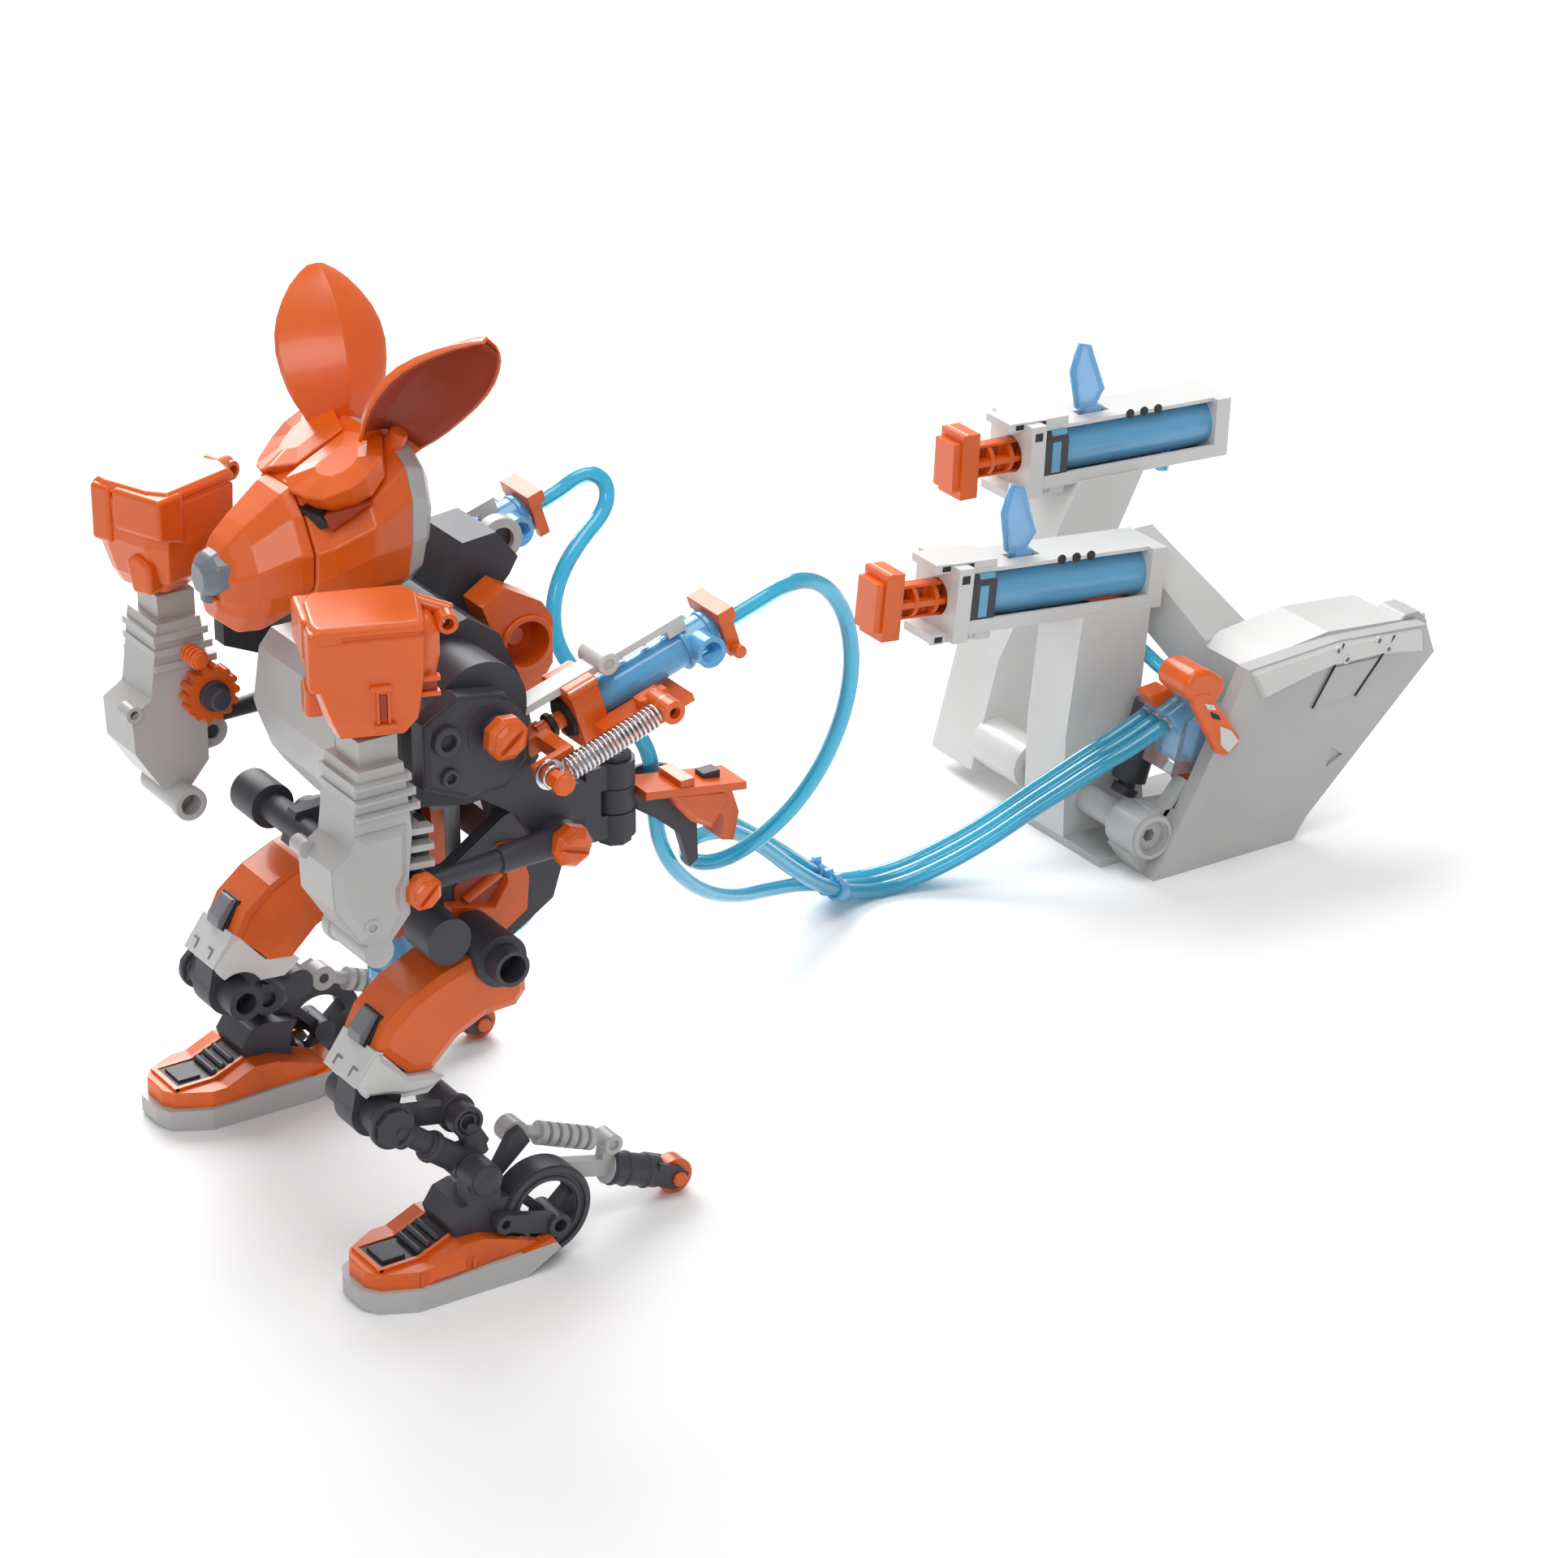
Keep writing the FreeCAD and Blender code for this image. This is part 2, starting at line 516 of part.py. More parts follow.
# ---------------------------------------------------------------- arm
def upper_arm():
    """Shoulder plate, crank and tapered strut to the elbow: one rigid lever."""
    y, z = size("shoulder_along"), size("shoulder_up")
    crank_y, crank_z = size("crank_along"), size("crank_up")
    elbow_y, elbow_z = size("elbow_along"), size("elbow_up")
    plate = side_plate(56.6, 62.6, [(-16, 172.4), (-4.5, 178.4), (y + 4, z + 10), (17.5, 166.9),
                                    (17.5, 154.4), (9.5, 146.9), (-2.5, 146.9), (-16, 152.9)])
    eye = cut(across(56.6, 64.6, -9.5, 166.9, 4.6), across(60, 65, -9.5, 166.9, 2.2))
    drum = across(56.6, 64.2, y, z, 9.0)
    crank = side_plate(57.4, 62.4, [(-2.5, 148.9), (16.5, 156.9), (21.5, 149.9), (30.5, 133.9),
                                    (28.5, 124.9), (21.5, 124.9), (13.5, 137.9)])
    boss = across(57.4, 69, crank_y, crank_z, 5.6)
    strut = fuse(taper((66.6, crank_y - 3, crank_z), (66.6, 4.5, 128), 4.4, 4.0),
                 taper((66.6, 5.5, 128.1), (66.6, elbow_y + 3, elbow_z), 3.2, 2.4),
                 across(64.6, 68.6, elbow_y, elbow_z, 4.6))
    pin = across(57, 65, elbow_y, elbow_z, "elbow_pin_radius")
    bore = across(56, 65, y, z, "shoulder_pin_radius + running")
    return cut(fuse(plate, eye, drum, crank, boss, strut, pin), bore)


def forearm_shell():
    """Tapered forearm casing with cuff ribs, cooling fins, elbow lug and the low cross tube."""
    elbow_y, elbow_z = size("elbow_along"), size("elbow_up")
    casing = side_plate(51, 70, [(-40, 167), (-26, 167), (-24, 146), (-25.5, 132), (-25.5, 121),
                                 (-33, 112.5), (-41.5, 116), (-49, 128), (-49.5, 140), (-43, 144)])
    ribs = [box(50.2, 70.8, -41.6, -24 + 1.2 * k, 161.5 - 4.6 * k, 163.7 - 4.6 * k) for k in range(3)]
    neck = box(54, 67, -38, -26, 166, 174.5)
    fins = [side_plate(54, 68.5, [(-27, 133.3 + 5.2 * k), (-27, 135.3 + 5.2 * k),
                                  (-16.5, 134.3 + 5.2 * k), (-16.5, 132.5 + 5.2 * k)]) for k in range(3)]
    fin_back = box(59, 63, -19.6, -17, 133.5, 144)
    lug = fuse(across(56, 63.9, elbow_y, elbow_z, 4.9),
               side_plate(56, 63.9, [(elbow_y, elbow_z + 4.9), (-27, 132.9), (-27, 121.5),
                                     (elbow_y, elbow_z - 4.9)]))
    low_tube = cut(across(48, 69, -35, 111, 4.6), across(47, 51, -35, 111, 3.0))
    boss = cut(across(50, 56, -49, 141, 2.6), across(49, 53, -49, 141, 1.4))
    clear = across(64.1, 77, elbow_y, elbow_z, 5.2)
    bore = across(55, 67, elbow_y, elbow_z, "elbow_pin_radius + running")
    trimmed = cut(fuse(casing, lug, fin_back, *fins), clear, bore)
    return fuse(trimmed, neck, low_tube, boss, *ribs)


def glove():
    """Boxing glove: a tapered block turned outwards, with its thumb on the rear side."""
    middle_x, middle_y, turn = 59.0, -31.0, math.radians(-26)

    def ring(width, depth, z, slide=0.0):
        corners = []
        for u, v in ((-0.5, -0.36), (-0.36, -0.5), (0.36, -0.5), (0.5, -0.36), (0.5, 0.36), (0.36, 0.5),
                     (-0.36, 0.5), (-0.5, 0.36)):
            along, deep = u * width, v * depth + slide
            corners.append((middle_x + deep * math.cos(turn) - along * math.sin(turn),
                            middle_y + deep * math.sin(turn) + along * math.cos(turn), z))
        return corners

    body = loft([ring(24, 20, 174.5), ring(36, 26, 181, -0.5), ring(40, 30, 193, -1),
                 ring(40, 30, 203, -1), ring(35, 26, 210, -2)])
    return body


def ratchet_gear():
    """Toothed click wheel on the forearm's inner face, with its hub."""
    y, z, teeth = -25.5, 143.5, 14
    disc = across(46, 51, y, z, 7.4)
    tooth_ring = [across(46, 51, y + 7.6 * math.cos(2 * math.pi * k / teeth),
                         z + 7.6 * math.sin(2 * math.pi * k / teeth), 1.2) for k in range(teeth)]
    hub = across(44, 46.4, y, z, 3.4)
    return fuse(disc, hub, *tooth_ring)


# ---------------------------------------------------------------- head
def outline_xz(y, half):
    """Closed section across the head from its right-hand half."""
    return [(x, y, z) for x, z in half] + [(-x, y, z) for x, z in reversed(half)]


def head_shell():
    """Faceted face and skull."""
    body = loft([outline_xz(-18, [(9, 218), (17, 212), (20, 202), (15, 191), (8, 187)]),
                 outline_xz(-5, [(11, 229.3), (21, 222.5), (27, 207), (22, 193), (10, 188.6)]),
                 outline_xz(3, [(11, 234.3), (23, 227.5), (28, 211), (23, 196), (10, 190)]),
                 outline_xz(10, [(10, 232.3), (20, 225.5), (25, 210), (20, 198), (10, 192)])])
    socket = fuse(rod((0, size("neck_along"), 180), (0, size("neck_along"), 198.4), "neck_radius + running"),
                  rod((0, size("neck_along"), 180), (0, size("neck_along"), 189.1), 9.6))
    ear_sockets = [ball(side * size("ear_across"), size("ear_along"), size("ear_up"),
                        "ear_ball_radius + running") for side in (1, -1)]
    return cut(body, socket, *ear_sockets)


def snout():
    """Muzzle with the nose and the lower jaw."""
    return loft([outline_xz(-50, [(3.5, 206), (6, 203), (6, 197), (3.5, 194)]),
                 outline_xz(-43, [(6, 211.5), (11, 206.5), (12, 194), (7, 186)]),
                 outline_xz(-18, [(9, 218), (19, 211), (20, 199), (12, 186.5)])])


def skull_rear():
    """Light band and plug at the back of the head."""
    return loft([outline_xz(10, [(10, 232.3), (20, 225.5), (25, 210), (20, 198), (10, 192)]),
                 outline_xz(15, [(8, 228), (16, 222), (20, 209), (15, 200), (8, 195)])])


def ear_blade(edge, depth_cut, lift):
    """Closed leaf with a ridge: the outer skin, or the smaller core that hollows it."""
    across_at, along, up = size("ear_across"), size("ear_along"), size("ear_up")
    wide = (-0.2, 0.98, 0)
    sections = []
    for part, half, depth in ((0.0, 6.5, 4.0), (0.2, 11.5, 6.5), (0.45, 14.5, 8.0), (0.7, 12.5, 7.0),
                              (0.9, 6.5, 4.5), (1.0, 2.5, 2.5)):
        middle = (across_at + 1 + 22 * part + lift, along + 5 * part, up + 39 * part - lift * 0.45)
        half, depth = max(half - edge, 0.8), max(depth - depth_cut, 0.8)
        inward = [depth * part_of for part_of in (-0.88, -0.18, 0.44)]
        places = [[m + side * half * w for m, w in zip(middle, wide)] for side in (-1, 1)]
        places += [[m + side * 0.35 * half * w + i for m, w, i in zip(middle, wide, inward)] for side in (1, -1)]
        sections.append([tuple(place) for place in places])
    return sections


def ear(tilt):
    """Hollow leaf-shaped ear on its root ball, tipped back by a number of degrees."""
    across_at, along, up = size("ear_across"), size("ear_along"), size("ear_up")
    root = ball(across_at, along, up, "ear_ball_radius")
    core = ear_blade(1.6, 1.6, 1.6)
    blade = cut(loft(ear_blade(0, 0, 0)), loft(core[1:5]))
    blade.Placement = FreeCAD.Placement(FreeCAD.Vector(0, 0, 0), FreeCAD.Rotation(
        FreeCAD.Vector(1, 0, 0), -tilt), point(0, along, up))
    clear = loft([outline_xz(-9, [(10, 228), (20, 220), (25, 207), (22, 193), (10, 188.6)]),
                  outline_xz(3, [(11, 236.6), (23, 229.8), (28, 211), (23, 196), (10, 190)]),
                  outline_xz(12, [(10, 234.6), (20, 227.8), (25, 210), (20, 198), (10, 192)]),
                  outline_xz(18, [(8, 230), (16, 224), (20, 209), (15, 200), (8, 195)])])
    return fuse(root, cut(blade, clear))


# ---------------------------------------------------------------- tail
def tail_hook():
    """Swinging tail plate: pivot eye, flat plate and a down-turned hook."""
    eye = cut(rod((0, 82, 98.4), (0, 82, 106.1), 6.4), rod((0, 82, 98), (0, 82, 107), 2.25))
    plate = side_plate(-1.6, 1.6, [(86, 101.7), (110, 98.1), (110.5, 74), (107.5, 72), (104, 84),
                                   (96, 91), (89.5, 95.5), (89.5, 98.4), (86, 98.4)])
    ring = cut(fuse(rod((-12, 103.5, 94), (-12, 103.5, 98), 8.0), box(-12, 0, 100, 107, 94, 98)),
               rod((-12, 103.5, 93), (-12, 103.5, 99), 6.2))
    return fuse(eye, plate, ring, box(-1.6, 1.6, 85, 88, 98.4, 106.1))


def tail_clamp():
    """Orange clamp with its claw over the end of the hook."""
    top = side_plate(-6, 8, [(88.6, 101.5), (124, 96.2), (124, 98.8), (88.6, 104.1)])
    cheek = side_plate(1.6, 5.2, [(98, 100.6), (118, 97.6), (119, 92), (113, 85), (106, 89), (101, 95)])
    claw = side_plate(-6, 5.2, [(113, 98.5), (120, 97.5), (123, 88), (121, 79), (117, 80), (117.5, 88),
                                (113, 93)])
    return fuse(top, cheek, claw)


# ---------------------------------------------------------------- control unit
NEAR = (-80.0, 250.0, 98.8, -6.0)
FAR = (-137.0, 320.0, 115.0, -3.0)


def grip(unit, along, over, x):
    """A place in a trigger syringe's own axes: along the barrel, over it, and across."""
    across_at, start, up, tilt = unit
    tilt = math.radians(tilt)
    return (across_at + x, start + along * math.cos(tilt) - over * math.sin(tilt),
            up + along * math.sin(tilt) + over * math.cos(tilt))


def grip_box(unit, a0, a1, o0, o1, x0, x1):
    ring = [grip(unit, a0, o0, x0), grip(unit, a1, o0, x0), grip(unit, a1, o1, x0), grip(unit, a0, o1, x0)]
    return prism(ring, (x1 - x0, 0, 0))


def cradle(unit):
    """Open tray round a trigger barrel, with the notched front bridge that guides the plunger."""
    tray = fuse(grip_box(unit, 8, 88, -10.6, -9.3, -9.5, 9.5), grip_box(unit, 8, 88, -10.6, -6, 9.3, 10.6),
                grip_box(unit, 8, 88, 9.3, 10.6, -10, 8), grip_box(unit, 8, 88, -10.6, 10.6, -10.6, -9.3))
    bridge = cut(grip_box(unit, 4, 10, -13, 12.8, -12.4, 11.6), rod(grip(unit, 0, 0, 0),
                                                                    grip(unit, 12, 0, 0), 6.4))
    ears = [grip_box(unit, -2, 22, 10.6, 13.4, -7.4, 7.4), grip_box(unit, -2, 16, -13.6, -10.6, -8, 8)]
    slit = grip_box(unit, 30.5, 43.5, 7, 12, -2.0, 2.0)
    wall = grip_box(unit, 84, 90, -10.6, 10.6, -10.6, 10.6)
    outlet = rod(grip(unit, 70, -40, 0), grip(unit, 70, -4, 0), 2.8)
    return cut(fuse(tray, bridge, wall, *ears), slit, outlet,
               rod(grip(unit, 10.01, 0, 0), grip(unit, 84, 0, 0), "trigger_radius + gap / 2"))


def trigger_barrel(unit):
    """Trigger syringe barrel with a finger flange and its outlet."""
    body = fuse(rod(grip(unit, 12, 0, 0), grip(unit, 84, 0, 0), "trigger_radius"),
                grip_box(unit, 14.4, 20.4, -9.2, 9.2, -9.2, 9.2),
                rod(grip(unit, 80, 0, 0), grip(unit, 84, 0, 0), 8.6))
    outlet = rod(grip(unit, 70, -16, 0), grip(unit, 70, -4, 0), 2.6)
    return cut(fuse(body, outlet), rod(grip(unit, 11, 0, 0), grip(unit, 80, 0, 0), "trigger_bore"),
               rod(grip(unit, 70, -17, 0), grip(unit, 70, -5, 0), 1.3))


def plunger(unit):
    """Thumb piece, cross-ribbed stem and piston."""
    pad = fuse(grip_box(unit, -21, -14, -11, 12, -6.5, 6.5), grip_box(unit, -24, -21, -8, 9, -5.5, 5.5))
    stem = fuse(grip_box(unit, -14, 34, -5.2, 5.2, -1.0, 1.0), grip_box(unit, -14, 34, -1.0, 1.0, -5.2, 5.2))
    discs = [rod(grip(unit, at, 0, 0), grip(unit, at + 1.6, 0, 0), 5.4) for at in (-8, 0, 12, 24)]
    piston = rod(grip(unit, 33, 0, 0), grip(unit, 39, 0, 0), "trigger_piston")
    return fuse(pad, stem, piston, *discs)


def fin(unit):
    """Clear release lever that stands on a trigger cradle."""
    blade = prism([grip(unit, 31, 12, -1.4), grip(unit, 37, 11.4, -1.4), grip(unit, 41, 18, -1.4),
                   grip(unit, 34, 34, -1.4), grip(unit, 30.5, 35.4, -1.4), grip(unit, 28, 26, -1.4)],
                  (2.8, 0, 0))
    foot_block = grip_box(unit, 33.6, 40.4, 9.8, 12.6, -1.6, 1.6)
    return fuse(blade, foot_block)


def near_handle():
    """Near tray with the pistol grip that stands on the console's foot."""
    handle_y, handle_z = size("handle_along"), size("handle_up")
    column = loft([[(-92, 300, 3), (-69, 300, 3), (-69, 334, 3), (-92, 334, 3)],
                   [(-91, 300, 40), (-69, 300, 40), (-69, 330, 40), (-91, 330, 40)],
                   [(-92, 306, 83), (-69, 306, 83), (-69, 334, 80.2), (-92, 334, 80.2)]])
    bore = across(-95, -60, handle_y, handle_z, 5.0)
    outlet = rod(grip(NEAR, 70, -18, 0), grip(NEAR, 70, -4, 0), 2.8)
    return fuse(cut(column, bore, outlet), cradle(NEAR))


def far_handle():
    """Far tray on its own grip, hinged to the near half at the foot."""
    y, z = size("handle_along"), size("handle_up")
    column = loft([[(-149, 301, 6), (-125, 301, 6), (-125, 322, 6), (-149, 322, 6)],
                   [(-149, 312, 45), (-125, 312, 45), (-125, 342, 45), (-149, 342, 45)],
                   [(-149, 345, 103.7), (-125, 345, 103.7), (-125, 372, 102.3), (-149, 372, 102.3)]])
    hub = across(-126, -100, y, z, 8.6)
    return cut(fuse(column, hub, cradle(FAR)), across(-126, -94, y, z, "handle_pin_radius + running"),
               rod(grip(FAR, 70, -18, 0), grip(FAR, 70, -4, 0), 2.8))


def console_plate():
    """Slanted side plate with its foot bar and the boss of the handle hinge."""
    y, z = size("handle_along"), size("handle_up")
    plate = side_plate(-36, -30, [(309, 0), (368, 0), (374, 8), (426, 56), (422, 67), (384, 70), (346, 68),
                                  (328, 33)])
    boss = fuse(across(-48, -33, y, z, 8.2), side_plate(-48, -36, [(303, 9), (309, 0), (330, 0), (332, 20),
                                                                   (316, 22)]))
    socket = across(-34.6, -32, y, z, 5.4)
    hexagon = side_plate(-40, -30, [(y + 2.4 * math.cos(math.radians(60 * k)),
                                     z + 2.4 * math.sin(math.radians(60 * k))) for k in range(6)])
    foot_bar = box(-92, -48, 300, 336, 0, 3)
    heel = box(-92, -36, 328, 366, 0, 3)
    rib = box(-48, -36, 328, 334, 1, 22)
    pin = fuse(across(-99, -48, y, z, 4.9), across(-124, -98, y, z, "handle_pin_radius"))
    notch = side_plate(-31, -29, [(381, 24), (388, 27), (383, 31)])
    return cut(fuse(plate, boss, foot_bar, heel, rib, pin), socket, hexagon, notch)


def console_housing():
    """Upper casing behind the plate, with the arm that carries the near tray."""
    body = side_plate(-62, -36, [(352, 40), (352, 64), (358, 68), (384, 71), (416, 68), (424, 63), (424, 54),
                                 (396, 34), (360, 34)])
    hook = fuse(box(-50, -38, 422, 428, 55, 67), box(-50, -38, 414, 428, 63, 67))
    arm = loft([[(-61.5, 352, 44), (-61.5, 372, 44), (-61.5, 372, 66), (-61.5, 352, 66)],
                [(-90.5, 336, 76), (-90.5, 350, 76), (-90.5, 350, 99), (-90.5, 336, 99)]])
    return cut(fuse(body, hook, arm), grip_box(NEAR, -4, 90.05, -16, 16, -14, 14))


def lean_master():
    """Dark master cylinder that the two handle halves squeeze."""
    return fuse(rod((-62.4, 322, 22), (-62.4, 331, 48), 6.0), rod((-62.4, 321, 19), (-62.4, 322, 22.1), 3.0),
                rod((-62.4, 319.6, 16.9), (-62.4, 321.2, 19.5), 4.5))


def tube_manifold():
    """Clear junction block where the three tubes end."""
    block = side_plate(-54, -38, [(321, 33), (334, 31), (341, 54), (328, 58)])
    nipples = [rod((x, 320, 50.5), (x, 328, 53.7), 2.6) for x in (-51.3, -46, -40.7)]
    bores = [rod((x, 319, 50.1), (x, 330, 54.5), 1.3) for x in (-51.3, -46, -40.7)]
    return cut(fuse(block, *nipples), *bores)


def manifold_clamp():
    """Lever that locks the junction block: two cheeks and a rounded thumb end."""
    cheek_line = [(330, 26), (335, 24.6), (346.5, 60), (340, 66), (334, 63), (342, 57)]
    cheeks = [side_plate(-56, -54.3, cheek_line), side_plate(-37.7, -36.4, cheek_line)]
    crown = side_plate(-56, -36.4, [(334, 62), (341.4, 58.6), (346.4, 60), (341, 67), (335, 68)])
    return fuse(*cheeks, crown)


# ---------------------------------------------------------------- hydraulic tubes
LEFT_ROUTE = [
    (53, 87.63, 175.83), (53, 97.5, 178.94), (51.5, 108, 181.5), (48.5, 118.5, 180.5), (44.5, 129, 174),
    (40, 138, 162), (35.5, 143.5, 147), (31, 145.5, 132), (26.5, 144.5, 117.5), (21.5, 141, 103),
    (16, 134.5, 89.5), (9.5, 126, 78.5), (2, 119, 71), (-8, 115.5, 67), (-19, 118, 66), (-28.5, 127.5, 65),
    (-37, 146.5, 59), (-47, 164.5, 44.5), (-57, 183.5, 26.5), (-65.5, 202, 11.5), (-71, 220, 2.7),
    (-69.5, 234.5, 2.7), (-64.5, 248, 8), (-58.5, 261.5, 16), (-53, 274.5, 25.5), (-47.5, 286.5, 34),
    (-43.3, 297.5, 41), (-40.7, 308, 45.7), (-40.7, 320, 50.5)]
RIGHT_ROUTE = [
    (-53, 87.63, 175.83), (-53, 94.5, 178.0), (-52, 102, 182.5), (-50.5, 106.8, 183), (-48.5, 110, 179.8),
    (-46.8, 109.5, 174.8), (-45, 105.5, 170.5), (-42.5, 98, 166.5), (-40, 91, 161.5), (-37.5, 85.5, 155),
    (-35, 82.5, 147), (-32.5, 82.5, 139), (-29, 85, 132), (-24, 90, 125.5), (-18.5, 95.5, 118),
    (-13.5, 101.5, 109.5), (-12, 103.5, 98), (-12, 103.5, 86), (-14.5, 106.5, 74), (-20, 115, 60),
    (-31, 132, 43.5), (-46, 154, 29.5), (-60, 177, 20.5), (-71.5, 199, 12), (-76.2, 218.4, 2.7),
    (-74.7, 235.9, 2.7), (-69.3, 250.4, 8.7), (-63.3, 263.9, 16.7), (-57.8, 276.9, 26.2), (-52.5, 288.5, 34.5),
    (-48.5, 298.5, 41.2), (-46, 308, 45.7), (-46, 320, 50.5)]
LEAN_ROUTE = [
    (0, 22, 68.5), (0, 31, 68.5), (0, 40.5, 67), (-2, 49.5, 67), (-5.5, 57.5, 71.5), (-9.5, 63.5, 79.5),
    (-12, 66.5, 89), (-14, 69.5, 97.5), (-16.5, 74.5, 103.5), (-19.5, 82, 105.5), (-23, 91, 102.5),
    (-26.5, 101, 95.5), (-30, 111.5, 87.5), (-34.5, 123, 78.5), (-40.5, 137, 68.5), (-48.5, 154, 55),
    (-58.5, 173, 39.5), (-69, 190, 25), (-78, 204, 12.5), (-82.2, 216.5, 2.8), (-80, 237.3, 2.8),
    (-74.1, 252.8, 9.4), (-68.1, 266.3, 17.4), (-62.6, 279.3, 26.9), (-57.5, 290.5, 35), (-53.6, 299.5, 41.4),
    (-51.3, 308, 45.7), (-51.3, 320, 50.5)]


def tube_path(route):
    """Straight runs joined by tangent arcs, each as large as its two runs allow."""
    places = [point(*place) for place in route]
    edges, start = [], places[0]
    radii = []
    for before, corner, after in zip(places, places[1:], places[2:]):
        back, ahead = (before - corner), (after - corner)
        reach = 0.45 * min(back.Length, ahead.Length)
        back.normalize()
        ahead.normalize()
        half_turn = (math.pi - back.getAngle(ahead)) / 2
        radius = reach / math.tan(half_turn)
        radii.append(radius)
        enter, leave = corner + back * reach, corner + ahead * reach
        inward = (back + ahead).normalize()
        middle = corner + inward * (math.hypot(radius, reach) - radius)
        edges += [Part.LineSegment(start, enter).toShape(), Part.Arc(enter, middle, leave).toShape()]
        start = leave
    edges.append(Part.LineSegment(start, places[-1]).toShape())
    return Part.Wire(edges), radii


def hose(route, name):
    """Solid round tube along a route; its volume is compared with section times length."""
    path, radii = tube_path(route)
    start = path.Edges[0]
    ring = Part.Wire(Part.makeCircle(size("tube_radius"), start.valueAt(start.FirstParameter),
                                     start.tangentAt(start.FirstParameter)))
    shape = path.makePipeShell([ring], True, False)
    expected = math.pi * size("tube_radius") ** 2 * path.Length
    print(name, "length", round(path.Length, 1), "tightest", round(min(radii), 1),
          "volume ratio", round(shape.Volume / expected, 4))
    feature = doc.addObject("Part::Feature", name)
    feature.Shape = shape
    return subpart(feature, name)


# ---------------------------------------------------------------- assembly
def build():
    pair(foot(), "foot")
    pair(ankle_block(), "ankle_block")
    pair(prop_arm(), "prop_arm")
    pair(prop_roller(), "prop_roller")
    pair(shin(), "shin")
    frame_shape = thigh_frame()
    pair(frame_shape, "thigh_frame")
    pair(thigh_cover(frame_shape), "thigh_cover")
    subpart(hip_axle(), "hip_axle")
    subpart(pelvis_frame(), "pelvis_frame")
    subpart(lean_cylinder(), "lean_cylinder")
    subpart(lean_piston(), "lean_piston")
    subpart(torso_frame(), "torso_frame")
    subpart(chest_shell(), "chest_shell")
    subpart(back_guards(), "back_guards")
    pair(syringe(), "syringe")
    pair(punch_rod(), "punch_rod")
    pair(return_spring(), "return_spring")
    subpart(drive_clips(), "drive_clips")
    subpart(syringe_rails(), "syringe_rails")
    pair(upper_arm(), "upper_arm")
    pair(forearm_shell(), "forearm_shell")
    pair(glove(), "glove")
    pair(ratchet_gear(), "ratchet_gear")
    subpart(head_shell(), "head_shell")
    subpart(snout(), "snout")
    subpart(skull_rear(), "skull_rear")
    subpart(ear(26), "left_ear")
    subpart(mirrored(ear(0)), "right_ear")
    subpart(tail_hook(), "tail_hook")
    subpart(tail_clamp(), "tail_clamp")
    subpart(near_handle(), "near_handle")
    subpart(far_handle(), "far_handle")
    for unit, side in ((NEAR, "near"), (FAR, "far")):
        subpart(trigger_barrel(unit), side + "_barrel")
        subpart(plunger(unit), side + "_plunger")
        subpart(fin(unit), side + "_fin")
    subpart(console_plate(), "console_plate")
    subpart(console_housing(), "console_housing")
    subpart(lean_master(), "lean_master")
    subpart(tube_manifold(), "tube_manifold")
    subpart(manifold_clamp(), "manifold_clamp")
    hose(LEFT_ROUTE, "left_tube")
    hose(RIGHT_ROUTE, "right_tube")
    hose(LEAN_ROUTE, "lean_tube")


def check():
    """Stop if any feature failed, or if a sub-part is not a valid closed shape."""
    for feature in doc.Objects:
        if "Invalid" in feature.State or "Error" in feature.State:
            raise RuntimeError(f"{feature.Name} ({feature.Label}) failed: {feature.State}")
    for feature in SUBPARTS:
        shape = feature.Shape
        if shape.isNull() or not shape.isValid() or not shape.Solids or shape.Volume < 1:
            raise RuntimeError(f"{feature.Label} is not a valid solid")
        print(f"{feature.Label:18s} solids {len(shape.Solids)} volume {shape.Volume / 1000:8.2f} cm3")


def report_origin():
    """Print how far the bottom centre of the kit, tubes apart, lies from the origin."""
    kit = FreeCAD.BoundBox()
    for feature in SUBPARTS:
        if not feature.Label.endswith("_tube"):
            kit.add(feature.Shape.optimalBoundingBox(False, False))
    print("kit box", [round(v, 2) for v in (kit.XMin, kit.XMax, kit.YMin, kit.YMax, kit.ZMin, kit.ZMax)],
          "off centre", round(kit.Center.x, 3), round(kit.Center.y, 3))


build()
doc.recompute()
check()
report_origin()
os.makedirs("parts", exist_ok=True)
for piece in SUBPARTS:
    piece.Shape.exportStep(f"parts/{piece.Label}.step")
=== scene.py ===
"""Looks of the hydraulic boxing kangaroo and its control unit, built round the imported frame.

Places are written in millimetres in the robot's own coordinates, as in the CAD source:
the robot faces -Y, its left side is +X and the ground is z = 0.  at() turns them into
metres in the document's frame.
"""
import bpy
import bmesh
import json
import math
from mathutils import Matrix, Vector

